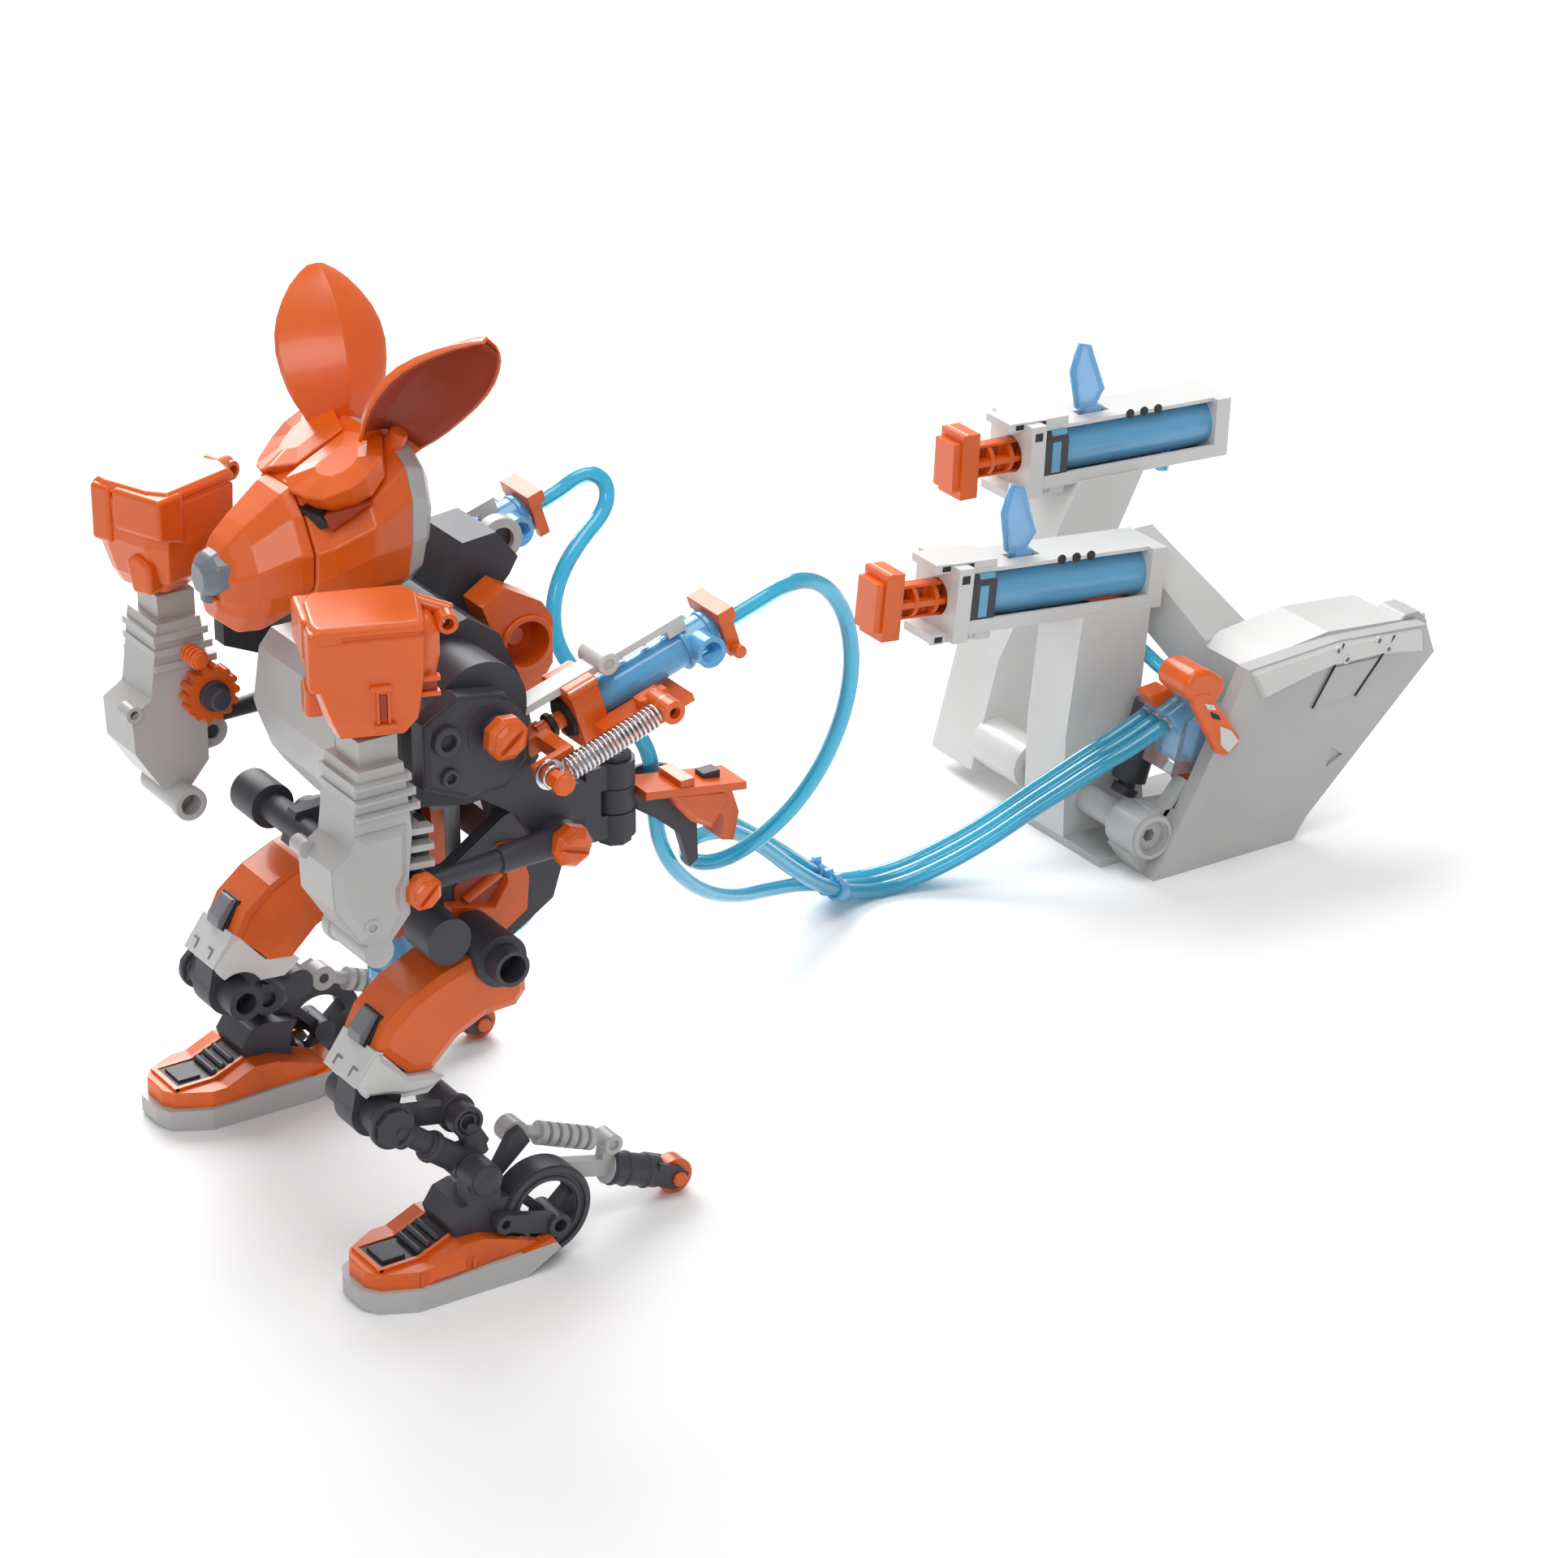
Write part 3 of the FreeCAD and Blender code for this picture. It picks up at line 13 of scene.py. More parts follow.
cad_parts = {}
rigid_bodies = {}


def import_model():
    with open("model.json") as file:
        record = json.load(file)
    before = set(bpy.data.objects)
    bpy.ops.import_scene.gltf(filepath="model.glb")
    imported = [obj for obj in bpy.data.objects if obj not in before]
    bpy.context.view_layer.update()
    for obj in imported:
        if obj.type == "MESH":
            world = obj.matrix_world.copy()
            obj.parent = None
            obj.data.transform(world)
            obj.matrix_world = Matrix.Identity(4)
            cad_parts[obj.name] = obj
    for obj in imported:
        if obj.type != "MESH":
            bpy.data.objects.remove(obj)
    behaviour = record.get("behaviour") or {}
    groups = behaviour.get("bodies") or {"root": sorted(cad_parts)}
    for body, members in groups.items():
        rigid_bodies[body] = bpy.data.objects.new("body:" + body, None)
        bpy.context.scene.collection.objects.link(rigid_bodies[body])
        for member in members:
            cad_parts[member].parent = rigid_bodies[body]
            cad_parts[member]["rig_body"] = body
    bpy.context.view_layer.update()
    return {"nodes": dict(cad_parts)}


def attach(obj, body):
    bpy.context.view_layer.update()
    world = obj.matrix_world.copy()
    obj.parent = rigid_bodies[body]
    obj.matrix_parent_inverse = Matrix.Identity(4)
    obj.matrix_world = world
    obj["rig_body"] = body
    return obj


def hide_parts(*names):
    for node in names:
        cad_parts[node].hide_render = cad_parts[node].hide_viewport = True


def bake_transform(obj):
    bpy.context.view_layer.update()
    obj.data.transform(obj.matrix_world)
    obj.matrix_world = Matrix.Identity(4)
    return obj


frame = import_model()

MM = 0.001
ORIGIN = Vector((-34.5, 187.36, 0.0))
COAT_ROUGHNESS, DRIFT_SCALE = 0.12, 38.0
GRAIN_SCALE, GRAIN_DEPTH = 2600.0, 0.0002
ORANGE_TONE, DARK_TONE = (0.72, 0.112, 0.007), (0.045, 0.045, 0.058)
GREY_TONE, WHITE_TONE = (0.45, 0.45, 0.445), (0.70, 0.70, 0.69)


def at(x, y, z):
    """A place in the robot's coordinates, in metres in the document's frame."""
    return (Vector((x, y, z)) - ORIGIN) * MM


# ---- materials
def plastic(name, colour, rough, grain=0.02, gloss=0.0, tone=0.06, through=0.0, index=1.47):
    """Moulded plastic: fine grain in the surface, slight drift of tone and roughness."""
    material = bpy.data.materials.new(name)
    material.use_nodes = True
    tree = material.node_tree
    shader = tree.nodes["Principled BSDF"]
    shader.inputs["IOR"].default_value = index
    shader.inputs["Coat Weight"].default_value = gloss
    shader.inputs["Coat Roughness"].default_value = COAT_ROUGHNESS
    shader.inputs["Transmission Weight"].default_value = through
    place = tree.nodes.new("ShaderNodeTexCoord")
    drift = tree.nodes.new("ShaderNodeTexNoise")
    drift.inputs["Scale"].default_value = DRIFT_SCALE
    drift.inputs["Detail"].default_value = 3.0
    tree.links.new(place.outputs["Object"], drift.inputs["Vector"])
    ramp = tree.nodes.new("ShaderNodeValToRGB")
    low = [channel * (1 - tone) for channel in colour]
    high = [min(1.0, channel * (1 + tone)) for channel in colour]
    ramp.color_ramp.elements[0].position, ramp.color_ramp.elements[1].position = 0.35, 0.65
    ramp.color_ramp.elements[0].color = (*low, 1)
    ramp.color_ramp.elements[1].color = (*high, 1)
    tree.links.new(drift.outputs["Fac"], ramp.inputs["Fac"])
    tree.links.new(ramp.outputs["Color"], shader.inputs["Base Color"])
    spread = tree.nodes.new("ShaderNodeMapRange")
    spread.inputs["To Min"].default_value = max(rough - 0.05, 0.02)
    spread.inputs["To Max"].default_value = rough + 0.06
    tree.links.new(drift.outputs["Fac"], spread.inputs["Value"])
    tree.links.new(spread.outputs["Result"], shader.inputs["Roughness"])
    fine = tree.nodes.new("ShaderNodeTexNoise")
    fine.inputs["Scale"].default_value = GRAIN_SCALE
    tree.links.new(place.outputs["Object"], fine.inputs["Vector"])
    bump = tree.nodes.new("ShaderNodeBump")
    bump.inputs["Strength"].default_value = grain
    bump.inputs["Distance"].default_value = GRAIN_DEPTH
    tree.links.new(fine.outputs["Fac"], bump.inputs["Height"])
    tree.links.new(bump.outputs["Normal"], shader.inputs["Normal"])
    return material


ORANGE = plastic("orange", ORANGE_TONE, 0.30, 0.05, 0.22)
DARK = plastic("charcoal", DARK_TONE, 0.48, 0.08)
BLACK = plastic("black", (0.012, 0.012, 0.014), 0.45, 0.05)
LIGHT = plastic("light_grey", GREY_TONE, 0.36, 0.06, 0.1, 0.03)
PALE = plastic("off_white", (0.62, 0.62, 0.61), 0.34, 0.05, 0.15, 0.02)
MID = plastic("mid_grey", (0.20, 0.20, 0.22), 0.38, 0.06)
BLUE = plastic("clear_blue", (0.20, 0.60, 0.95), 0.10, 0.01, 0.3, 0.04, 0.45, 1.45)
FROST = plastic("frosted_blue", (0.30, 0.60, 0.92), 0.30, 0.03, 0.0, 0.04, 0.4, 1.45)
VINYL = plastic("tube_blue", (0.045, 0.48, 0.72), 0.12, 0.01, 0.6, 0.03, 0.5, 1.45)
CLEAR = plastic("clear", (0.86, 0.93, 0.98), 0.08, 0.01, 0.0, 0.02, 0.85, 1.46)
STEEL = plastic("steel", (0.72, 0.72, 0.74), 0.22, 0.02)
STEEL.node_tree.nodes["Principled BSDF"].inputs["Metallic"].default_value = 1.0


def split(name, low, high, rough, planes):
    """Plastic in two colours: low colour where a place is under any of the (y, z, reach) planes."""
    material = plastic(name, high, rough, 0.05, tone=0.2)
    tree = material.node_tree
    shader, ramp = tree.nodes["Principled BSDF"], tree.nodes["Color Ramp"]
    place, under = tree.nodes["Texture Coordinate"], None
    for along, up, reach in planes:
        dot = tree.nodes.new("ShaderNodeVectorMath")
        dot.operation = "DOT_PRODUCT"
        dot.inputs[1].default_value = (0, along, up)
        tree.links.new(place.outputs["Object"], dot.inputs[0])
        less = tree.nodes.new("ShaderNodeMath")
        less.operation = "LESS_THAN"
        less.inputs[1].default_value = (reach - along * ORIGIN.y) * MM
        tree.links.new(dot.outputs["Value"], less.inputs[0])
        if under:
            either = tree.nodes.new("ShaderNodeMath")
            either.operation = "MAXIMUM"
            tree.links.new(under.outputs[0], either.inputs[0])
            tree.links.new(less.outputs[0], either.inputs[1])
            less = either
        under = less
    mix = tree.nodes.new("ShaderNodeMixRGB")
    mix.inputs["Color2"].default_value = (*low, 1)
    tree.links.new(under.outputs[0], mix.inputs["Fac"])
    tree.links.new(ramp.outputs["Color"], mix.inputs["Color1"])
    tree.links.new(mix.outputs["Color"], shader.inputs["Base Color"])
    return material


FOOT = split("foot_two_tone", GREY_TONE, ORANGE_TONE, 0.32, [(-0.0347, 1.0, 8.2)])
THIGH = split("thigh_two_tone", WHITE_TONE, ORANGE_TONE, 0.32,
              [(0.752, 0.658, 25.62), (0.141, 0.99, 57.2)])
PROP = split("prop_two_tone", GREY_TONE, DARK_TONE, 0.36, [(0.931, -0.364, 34.6)])


# ---- building pieces
def soften(obj, width, segments=2, angle=28):
    """Rounded edges with shading that stays flat on the faces."""
    edge = obj.modifiers.new("edges", "BEVEL")
    edge.width, edge.segments = width * MM, segments
    edge.limit_method, edge.angle_limit = "ANGLE", math.radians(angle)
    edge.harden_normals = True
    edge.use_clamp_overlap = True


def circle(middle, side, other, radius, count):
    """Places round a circle, from the side direction towards the other one."""
    return [middle + (side * math.cos(angle) + other * math.sin(angle)) * radius
            for angle in (2 * math.pi * k / count for k in range(count))]


class Build:
    """One piece made of closed parts, with a material for each part."""

    def __init__(self, name, flip=1):
        self.name, self.flip = name, flip
        self.mesh = bmesh.new()
        self.materials = []

    def index(self, material):
        if material not in self.materials:
            self.materials.append(material)
        return self.materials.index(material)

    def faces(self, places, faces, material, smooth=False):
        places = [(x * self.flip, y, z) for x, y, z in places]
        points = [self.mesh.verts.new(at(*place)) for place in places]
        index = self.index(material)
        for face in faces:
            made = self.mesh.faces.new([points[k] for k in face])
            made.material_index, made.smooth = index, smooth
        return points

    def rings(self, rings, material, smooth=False, closed=False):
        """Skin over rings of equally many places: capped at both ends, or closed into a loop."""
        count = len(rings[0])
        places = [place for ring in rings for place in ring]
        faces = []
        steps = len(rings) if closed else len(rings) - 1
        for k in range(steps):
            low, high = k * count, ((k + 1) % len(rings)) * count
            faces += [(low + i, low + (i + 1) % count, high + (i + 1) % count, high + i)
                      for i in range(count)]
        points = self.faces(places, faces, material, smooth)
        if not closed:
            for ring in (points[:count], points[-count:]):
                made = self.mesh.faces.new(ring)
                made.material_index = self.index(material)
        return self

    def side(self, x0, x1, outline, material):
        return self.rings([[(x, y, z) for y, z in outline] for x in (x0, x1)], material)

    def box(self, x0, x1, y0, y1, z0, z1, material):
        return self.side(x0, x1, [(y0, z0), (y1, z0), (y1, z1), (y0, z1)], material)

    def turn(self, start, end, profile, material, count=24, smooth=True, closed=False):
        """Turned part: the profile's pairs are (distance along, radius)."""
        start = Vector(start)
        axis = (Vector(end) - start).normalized()
        side = axis.orthogonal().normalized()
        other = axis.cross(side)
        rings = [circle(start + axis * along, side, other, radius, count) for along, radius in profile]
        return self.rings(rings, material, smooth, closed)

    def rod(self, start, end, radius, material, count=24, edge=0.4, end_radius=None):
        length = (Vector(end) - Vector(start)).length
        last = radius if end_radius is None else end_radius
        edge = min(edge, length / 3, radius / 2)
        profile = [(0, radius - edge), (edge, radius), (length - edge, last), (length, last - edge)]
        return self.turn(start, end, profile, material, count)

    def pipe(self, start, end, radius, bore, material, count=28, edge=0.3):
        """Hollow round part, open at both ends."""
        length = (Vector(end) - Vector(start)).length
        profile = [(0, bore), (0, radius - edge), (edge, radius), (length - edge, radius),
                   (length, radius - edge), (length, bore)]
        return self.turn(start, end, profile, material, count, True, True)

    def cup(self, start, end, radius, bore, depth, material, floor=None, count=28, edge=0.3):
        """Round part with a blind hole in its far end; a floor material, where given, paints shade on the
        bottom of the hole.
        """
        start, run = Vector(start), Vector(end) - Vector(start)
        length, axis = run.length, run.normalized()
        profile = [(0, radius - edge), (edge, radius), (length - edge, radius),
                   (length, radius - edge), (length, bore), (length - depth, bore)]
        self.turn(start, end, profile, material, count)
        # Thin disc in the floor material: painted shade at the bottom of the hole.
        if floor:
            self.rod(start + axis * (length - depth), start + axis * (length - depth + 0.1),
                     bore - 0.02, floor, count, 0.01)

    def path(self, places, radius, material, count=10):
        """Round wire along places."""
        places = [Vector(place) for place in places]
        rings, side = [], None
        for k, place in enumerate(places):
            before = places[max(k - 1, 0)]
            after = places[min(k + 1, len(places) - 1)]
            axis = (after - before).normalized()
            side = axis.orthogonal() if side is None else side - axis * side.dot(axis)
            side = side.normalized()
            rings.append(circle(place, side, axis.cross(side), radius, count))
        return self.rings(rings, material, True)

    def done(self, body, bevel, replaces=(), segments=2, angle=28):
        bmesh.ops.recalc_face_normals(self.mesh, faces=self.mesh.faces)
        data = bpy.data.meshes.new(self.name)
        self.mesh.to_mesh(data)
        self.mesh.free()
        for material in self.materials:
            data.materials.append(material)
        obj = bpy.data.objects.new(self.name, data)
        bpy.context.scene.collection.objects.link(obj)
        if bevel:
            soften(obj, bevel, segments, angle)
        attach(obj, body)
        if replaces:
            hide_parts(*replaces)
        return obj


def both(make):
    """Makes a piece on the left side, and its mirror image on the right."""
    make("left", 1)
    make("right", -1)


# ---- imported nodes
NODE_LOOKS = {
    "console_housing": PALE, "console_plate": LIGHT, "chest_shell": LIGHT, "skull_rear": LIGHT,
    "near_handle": PALE, "far_handle": PALE, "tube_manifold": CLEAR, "lean_master": DARK,
    "syringe_rails": PALE, "lean_cylinder": BLUE, "near_barrel": BLUE, "far_barrel": BLUE,
    "left_syringe": BLUE, "right_syringe": BLUE, "near_fin": FROST, "far_fin": FROST,
    "hip_axle": DARK, "lean_piston": MID, "torso_frame": DARK, "tail_hook": DARK,
    "left_forearm_shell": LIGHT, "right_forearm_shell": LIGHT,
    "left_return_spring": STEEL, "right_return_spring": STEEL,
}
NODE_BEVELS, USUAL_BEVEL = {"back_guards": 1.5, "near_plunger": 0.8, "far_plunger": 0.8}, 0.45
for side in ("left", "right"):
    for part in ("upper_arm", "shin", "ankle_block", "thigh_frame"):
        NODE_LOOKS[f"{side}_{part}"] = DARK
    NODE_LOOKS[side + "_foot"], NODE_LOOKS[side + "_thigh_cover"] = FOOT, THIGH
    NODE_LOOKS[side + "_prop_arm"] = PROP
for node, obj in frame["nodes"].items():
    look = NODE_LOOKS.get(node, ORANGE)
    for slot in obj.material_slots:
        slot.material = look
    if not obj.material_slots:
        obj.data.materials.append(look)
    if not node.endswith("_tube"):
        soften(obj, NODE_BEVELS.get(node, USUAL_BEVEL))


# ---- hydraulic tubes
TUBE_RADIUS = 2.5
LEFT_ROUTE = [
    (53, 87.63, 175.83), (53, 97.5, 178.94), (51.5, 108, 181.5), (48.5, 118.5, 180.5), (44.5, 129, 174),
    (40, 138, 162), (35.5, 143.5, 147), (31, 145.5, 132), (26.5, 144.5, 117.5), (21.5, 141, 103),
    (16, 134.5, 89.5), (9.5, 126, 78.5), (2, 119, 71), (-8, 115.5, 67), (-19, 118, 66), (-28.5, 127.5, 65),
    (-37, 146.5, 59), (-47, 164.5, 44.5), (-57, 183.5, 26.5), (-65.5, 202, 11.5), (-71, 220, 2.7),
    (-69.5, 234.5, 2.7), (-64.5, 248, 8), (-58.5, 261.5, 16), (-53, 274.5, 25.5), (-47.5, 286.5, 34),
    (-43.3, 297.5, 41), (-40.7, 308, 45.7), (-40.7, 320, 50.5)]
RIGHT_ROUTE = [
    (-53, 87.63, 175.83), (-53, 94.5, 178), (-52, 102, 182.5), (-50.5, 106.8, 183), (-48.5, 110, 179.8),
    (-46.8, 109.5, 174.8), (-45, 105.5, 170.5), (-42.5, 98, 166.5), (-40, 91, 161.5), (-37.5, 85.5, 155),
    (-35, 82.5, 147), (-32.5, 82.5, 139), (-29, 85, 132), (-24, 90, 125.5), (-18.5, 95.5, 118),
    (-13.5, 101.5, 109.5), (-12, 103.5, 98), (-12, 103.5, 86), (-14.5, 106.5, 74), (-20, 115, 60),
    (-31, 132, 43.5), (-46, 154, 29.5), (-60, 177, 20.5), (-71.5, 199, 12), (-76.2, 218.4, 2.7),
    (-74.7, 235.9, 2.7), (-69.3, 250.4, 8.7), (-63.3, 263.9, 16.7), (-57.8, 276.9, 26.2), (-52.5, 288.5, 34.5),
    (-48.5, 298.5, 41.2), (-46, 308, 45.7), (-46, 320, 50.5)]
LEAN_ROUTE = [
    (0, 22, 68.5), (0, 31, 68.5), (0, 40.5, 67), (-2, 49.5, 67), (-5.5, 57.5, 71.5), (-9.5, 63.5, 79.5),
    (-12, 66.5, 89), (-14, 69.5, 97.5), (-16.5, 74.5, 103.5), (-19.5, 82, 105.5), (-23, 91, 102.5),
    (-26.5, 101, 95.5), (-30, 111.5, 87.5), (-34.5, 123, 78.5), (-40.5, 137, 68.5), (-48.5, 154, 55),
    (-58.5, 173, 39.5), (-69, 190, 25), (-78, 204, 12.5), (-82.2, 216.5, 2.8), (-80, 237.3, 2.8),
    (-74.1, 252.8, 9.4), (-68.1, 266.3, 17.4), (-62.6, 279.3, 26.9), (-57.5, 290.5, 35), (-53.6, 299.5, 41.4),
    (-51.3, 308, 45.7), (-51.3, 320, 50.5)]


def centreline(name, route):
    """Smooth line of a tube: the route's points steer one open spline."""
    curve = bpy.data.curves.new(name + "_line", "CURVE")
    curve.dimensions = "3D"
    curve.resolution_u = 8
    spline = curve.splines.new("NURBS")
    spline.points.add(len(route) - 1)
    for point, place in zip(spline.points, route):
        point.co = (*at(*place), 1)
    spline.order_u = 3
    spline.use_endpoint_u = True
    holder = bpy.data.objects.new(name + "_line", curve)
    bpy.context.scene.collection.objects.link(holder)
    bpy.context.view_layer.update()
    sampled = bpy.data.meshes.new_from_object(holder)
    line = [Vector(v.co) for v in sampled.vertices]
    bpy.data.meshes.remove(sampled)
    bpy.data.objects.remove(holder)
    bpy.data.curves.remove(curve)
    if (line[0] - at(*route[0])).length > (line[-1] - at(*route[0])).length:
        line.reverse()
    return [place / MM + ORIGIN for place in line]


def tube(name, route, node, bends):
    """Soft hydraulic tube on the base; where bends is given, it is taken off the base's body and left fixed in
    the world.
    """
    line = centreline(name, route)
    build = Build(name)
    build.path(line, TUBE_RADIUS, VINYL, 20)
    obj = build.done("base", 0)
    if bends:
        obj.parent = None
        del obj["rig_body"]
        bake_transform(obj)
    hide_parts(node)
    length = sum((b - a).length for a, b in zip(line, line[1:])) * MM
    [at(*place) for place in line]


tube("left_tube_hose", LEFT_ROUTE, "left_tube", ((53, 92, 176), (30, 145, 130)))
tube("right_tube_hose", RIGHT_ROUTE, "right_tube", ((-53, 92, 176), (-30, 84, 134)))
tube("lean_tube_hose", LEAN_ROUTE, "lean_tube", None)


# ---- head
NOSE = plastic("nose_grey", (0.16, 0.18, 0.22), 0.30, 0.05, 0.3)
# Orange darkened to dark red: painted shade for hollows, grooves, recesses and the shade under overhangs.
SHADED_ORANGE = plastic("orange_painted_shade", (0.34, 0.038, 0.010), 0.42, 0.05)


def across(build, sections, material):
    """Skin over closed sections across the head, each given by its left half."""
    build.rings([[(x, y, z) for x, z in half] + [(-x, y, z) for x, z in reversed(half)]
                 for y, half in sections], material)


def head():
    """Face, snout, nose, the band behind the face and its plug."""
    face = Build("head_face")
    across(face, [
        (-23.8, [(7.4, 225.2), (14.4, 218.9), (20, 209.6), (19.3, 201.2), (16.6, 195.4), (12.6, 192.2)]),
        (-19, [(8.5, 226.8), (15.6, 217.4), (22.6, 211.5), (22.2, 203), (19, 196), (13, 191.4)]),
        (-8, [(9.5, 231.5), (22.2, 222.2), (26.2, 216.5), (25.8, 208), (22, 197.5), (13.2, 190.6)]),
        (3.6, [(13, 236), (22.4, 231), (26, 222.5), (25.3, 209), (22.3, 198), (13, 190.4)])], ORANGE)
    face.done("head", 0.7, ["head_shell"], 3, 12)
    snout = Build("snout_shell")
    across(snout, [
        (-46.8, [(3.2, 207.8), (5.8, 205.5), (7.2, 202), (6.6, 196.5), (3.8, 191.6)]),
        (-43.6, [(5, 212.2), (7.6, 208.6), (10, 203), (9.2, 195.6), (5.4, 187.4)]),
        (-38.5, [(5.6, 216.4), (9.6, 212), (13.4, 204.5), (12.4, 195.5), (7.4, 186.2)]),
        (-27.5, [(7, 224.2), (13, 219), (18.6, 209.5), (17.8, 199.5), (11.2, 191)]),
        (-24.1, [(7.2, 225.8), (14.2, 219.2), (19.6, 209.6), (18.8, 200), (12.4, 193)])], ORANGE)
    across(snout, [
        (-47.6, [(4.6, 196.6), (5.2, 193.6), (3.2, 190.2)]),
        (-42, [(10.6, 197.2), (10, 191.6), (5.8, 185.6)]),
        (-36, [(14, 197.8), (13, 191.4), (8.6, 186)]),
        (-27, [(17.6, 200.4), (15.6, 195), (11, 190.4)])], ORANGE)
    snout.done("head", 0.8, ["snout"], 3, 12)
    nose = Build("nose")
    across(nose, [
        (-50.8, [(1.4, 206), (3.8, 204.2), (4.2, 200.2), (2.2, 197.4)]),
        (-48, [(2.8, 208.4), (6.6, 206.6), (7.8, 201), (4.6, 197.6)]),
        (-43, [(3.2, 210.6), (8.2, 207), (9.4, 200.6), (6, 198)])], NOSE)
    across(nose, [(-50, [(1.6, 199), (1.2, 194.8)]), (-46.5, [(2.6, 199), (2, 193.6)])], NOSE)
    nose.done("head", 0.9, (), 3, 12)
    band = Build("head_band")
    across(band, [
        (3.7, [(12.8, 235.6), (22, 230.6), (25.5, 222.4), (24.8, 209), (21.8, 198), (12.6, 190.8)]),
        (10.6, [(11.5, 232.6), (19.4, 228), (21.6, 219), (20.6, 208), (17.6, 198.6), (11, 192)]),
        (14.8, [(8, 228), (14, 223), (16, 214), (14, 204), (8, 197), (6, 196)])], LIGHT)
    band.done("head", 0.6, ["skull_rear"], 2, 12)
    plug = Build("head_plug")
    plug.cup((0, 14.6, 212), (0, 17.6, 212), 7.2, 4.6, 2.2, DARK, BLACK)
    plug.done("head", 0.25)


def brow(name, flip):
    """Brow plate with the eye, and a dark red wedge under it painted as the shade beneath the brow."""
    top = [(0.7, -18.4, 229), (4.6, -25, 228), (8.6, -25.9, 225.8), (14, -24.4, 225.4),
           (19, -21, 225.4), (23.2, -14.7, 228.5), (24.6, -9.6, 232), (22.8, -4.2, 236),
           (14.6, 0.6, 238.4), (0.7, -3.4, 236.4)]
    low = [(0.7, -14.5, 224.5), (4.6, -20.5, 223.5), (9.4, -21.8, 221), (14, -20.4, 220.8),
           (18, -17, 220.6), (21.5, -12, 222.2), (23.2, -7.4, 224.8), (22, -2.6, 229.2),
           (14.4, 1, 232.2), (0.7, -2, 230)]
    middle = Vector((11.5, -11.5, 232.6))
    crown = [Vector(place).lerp(middle, 0.55) + Vector((0, 0, 0.35)) for place in top]
    plate = Build(name + "_brow", flip)
    plate.rings([low, top, crown], ORANGE)
    plate.done("head", 0.55, (), 3, 14)
    eye = Build(name + "_eye", flip)
    outline = [Vector(place) for place in ((11, -25, 221.4), (17.6, -21.2, 219.9), (19.4, -19.4, 217.6),
                (17.6, -21, 215.9), (13.2, -23.9, 218))]
    back = Vector((-2.6, 3.4, 1.4))
    eye.rings([outline, [place + back for place in outline]], BLACK)
    eye.done("head", 0.2)
    # Dark red wedge under the brow: painted shade in the recess beneath the brow's overhang.
    under_brow_shade = Build(name + "_under_brow_shade", flip)
    under_brow_shade.rings([[(18.6, -20.6, 220.2), (25.2, -8.4, 223.9), (20.2, -19.2, 215.8)],
               [(16, -18, 220.4), (22, -7.4, 224.4), (17, -17, 215.8)]], SHADED_ORANGE)
    under_brow_shade.done("head", 0.15)


def ear(name, flip, tilt, broad, deeper):
    """Scoop-shaped ear: convex back with a ridge, hollow front with a rim, its lining painted dark red as the
    shade inside the hollow.
    """
    outer, inner = Build(name + "_ear_shell", flip), Build(name + "_ear_hollow_shade", flip)
    pivot = Vector((12.5, 3, 234))
    lean_back = Matrix.Rotation(math.radians(-tilt), 3, "X")
    wide, inward = Vector((-0.2, 0.98, 0)), Vector((-0.88, -0.18, 0.44))
    stations = [(-0.02, 8.6, 3.4), (0.05, 9.8, 5), (0.13, 11.6, 6.4), (0.22, 13, 7.4), (0.33, 14, 8),
                (0.45, 14.5, 8.2), (0.57, 14, 7.8), (0.68, 12.6, 7), (0.78, 10.4, 6), (0.87, 7.8, 4.8),
                (0.94, 4.9, 3.6), (0.985, 2.2, 2.4)]
    shape = [(-1, 0), (-0.96, 0.24), (-0.6, 0.52), (-0.2, 0.81), (0.12, 1), (0.5, 0.68), (0.88, 0.3),
             (1, 0)]
    shells, shade_rings = [], []
    for part, half, depth in stations:
        middle = Vector((13.5 + 22 * part, 3 + 5 * part, 234 + 39 * part))
        bend = 1.6 * math.sin(math.pi * part)

        def place(u, v, wall):
            reach = max(half * broad - wall, 0.5)
            deep = max(depth * deeper - wall, 0.4)
            spot = middle + wide * (u * reach) + inward * (v * deep + bend)
            return pivot + lean_back @ (spot - pivot)

        outside = [place(u, v, 0) for u, v in shape]
        hollow = [place(u, v, 1.3) for u, v in reversed(shape)]
        shells.append(outside + hollow)
        shade_rings.append([place(u, v, 1.34) for u, v in shape] + [place(u, v, 2) for u, v in reversed(shape)])
    outer.rings(shells, ORANGE, True)
    outer.done(name + "_ear", 0.35, [name + "_ear"], 2, 32)
    # Lining of the hollow in dark red: painted shade inside the ear's scoop.
    inner.rings(shade_rings[1:-1], SHADED_ORANGE, True)
    inner.done(name + "_ear", 0)
    root = Build(name + "_ear_root", flip)
    start, end = pivot + Vector((-1, 0, -3.2)), pivot + lean_back @ Vector((2.6, 0.8, 5.4))
    root.rod(start, end, 3.4, ORANGE, 16, 0.6, 2.8)
    root.done(name + "_ear", 0.2)


head()
both(brow)
ear("left", 1, 26, 1.28, 1.45)
ear("right", -1, 0, 1.12, 1)


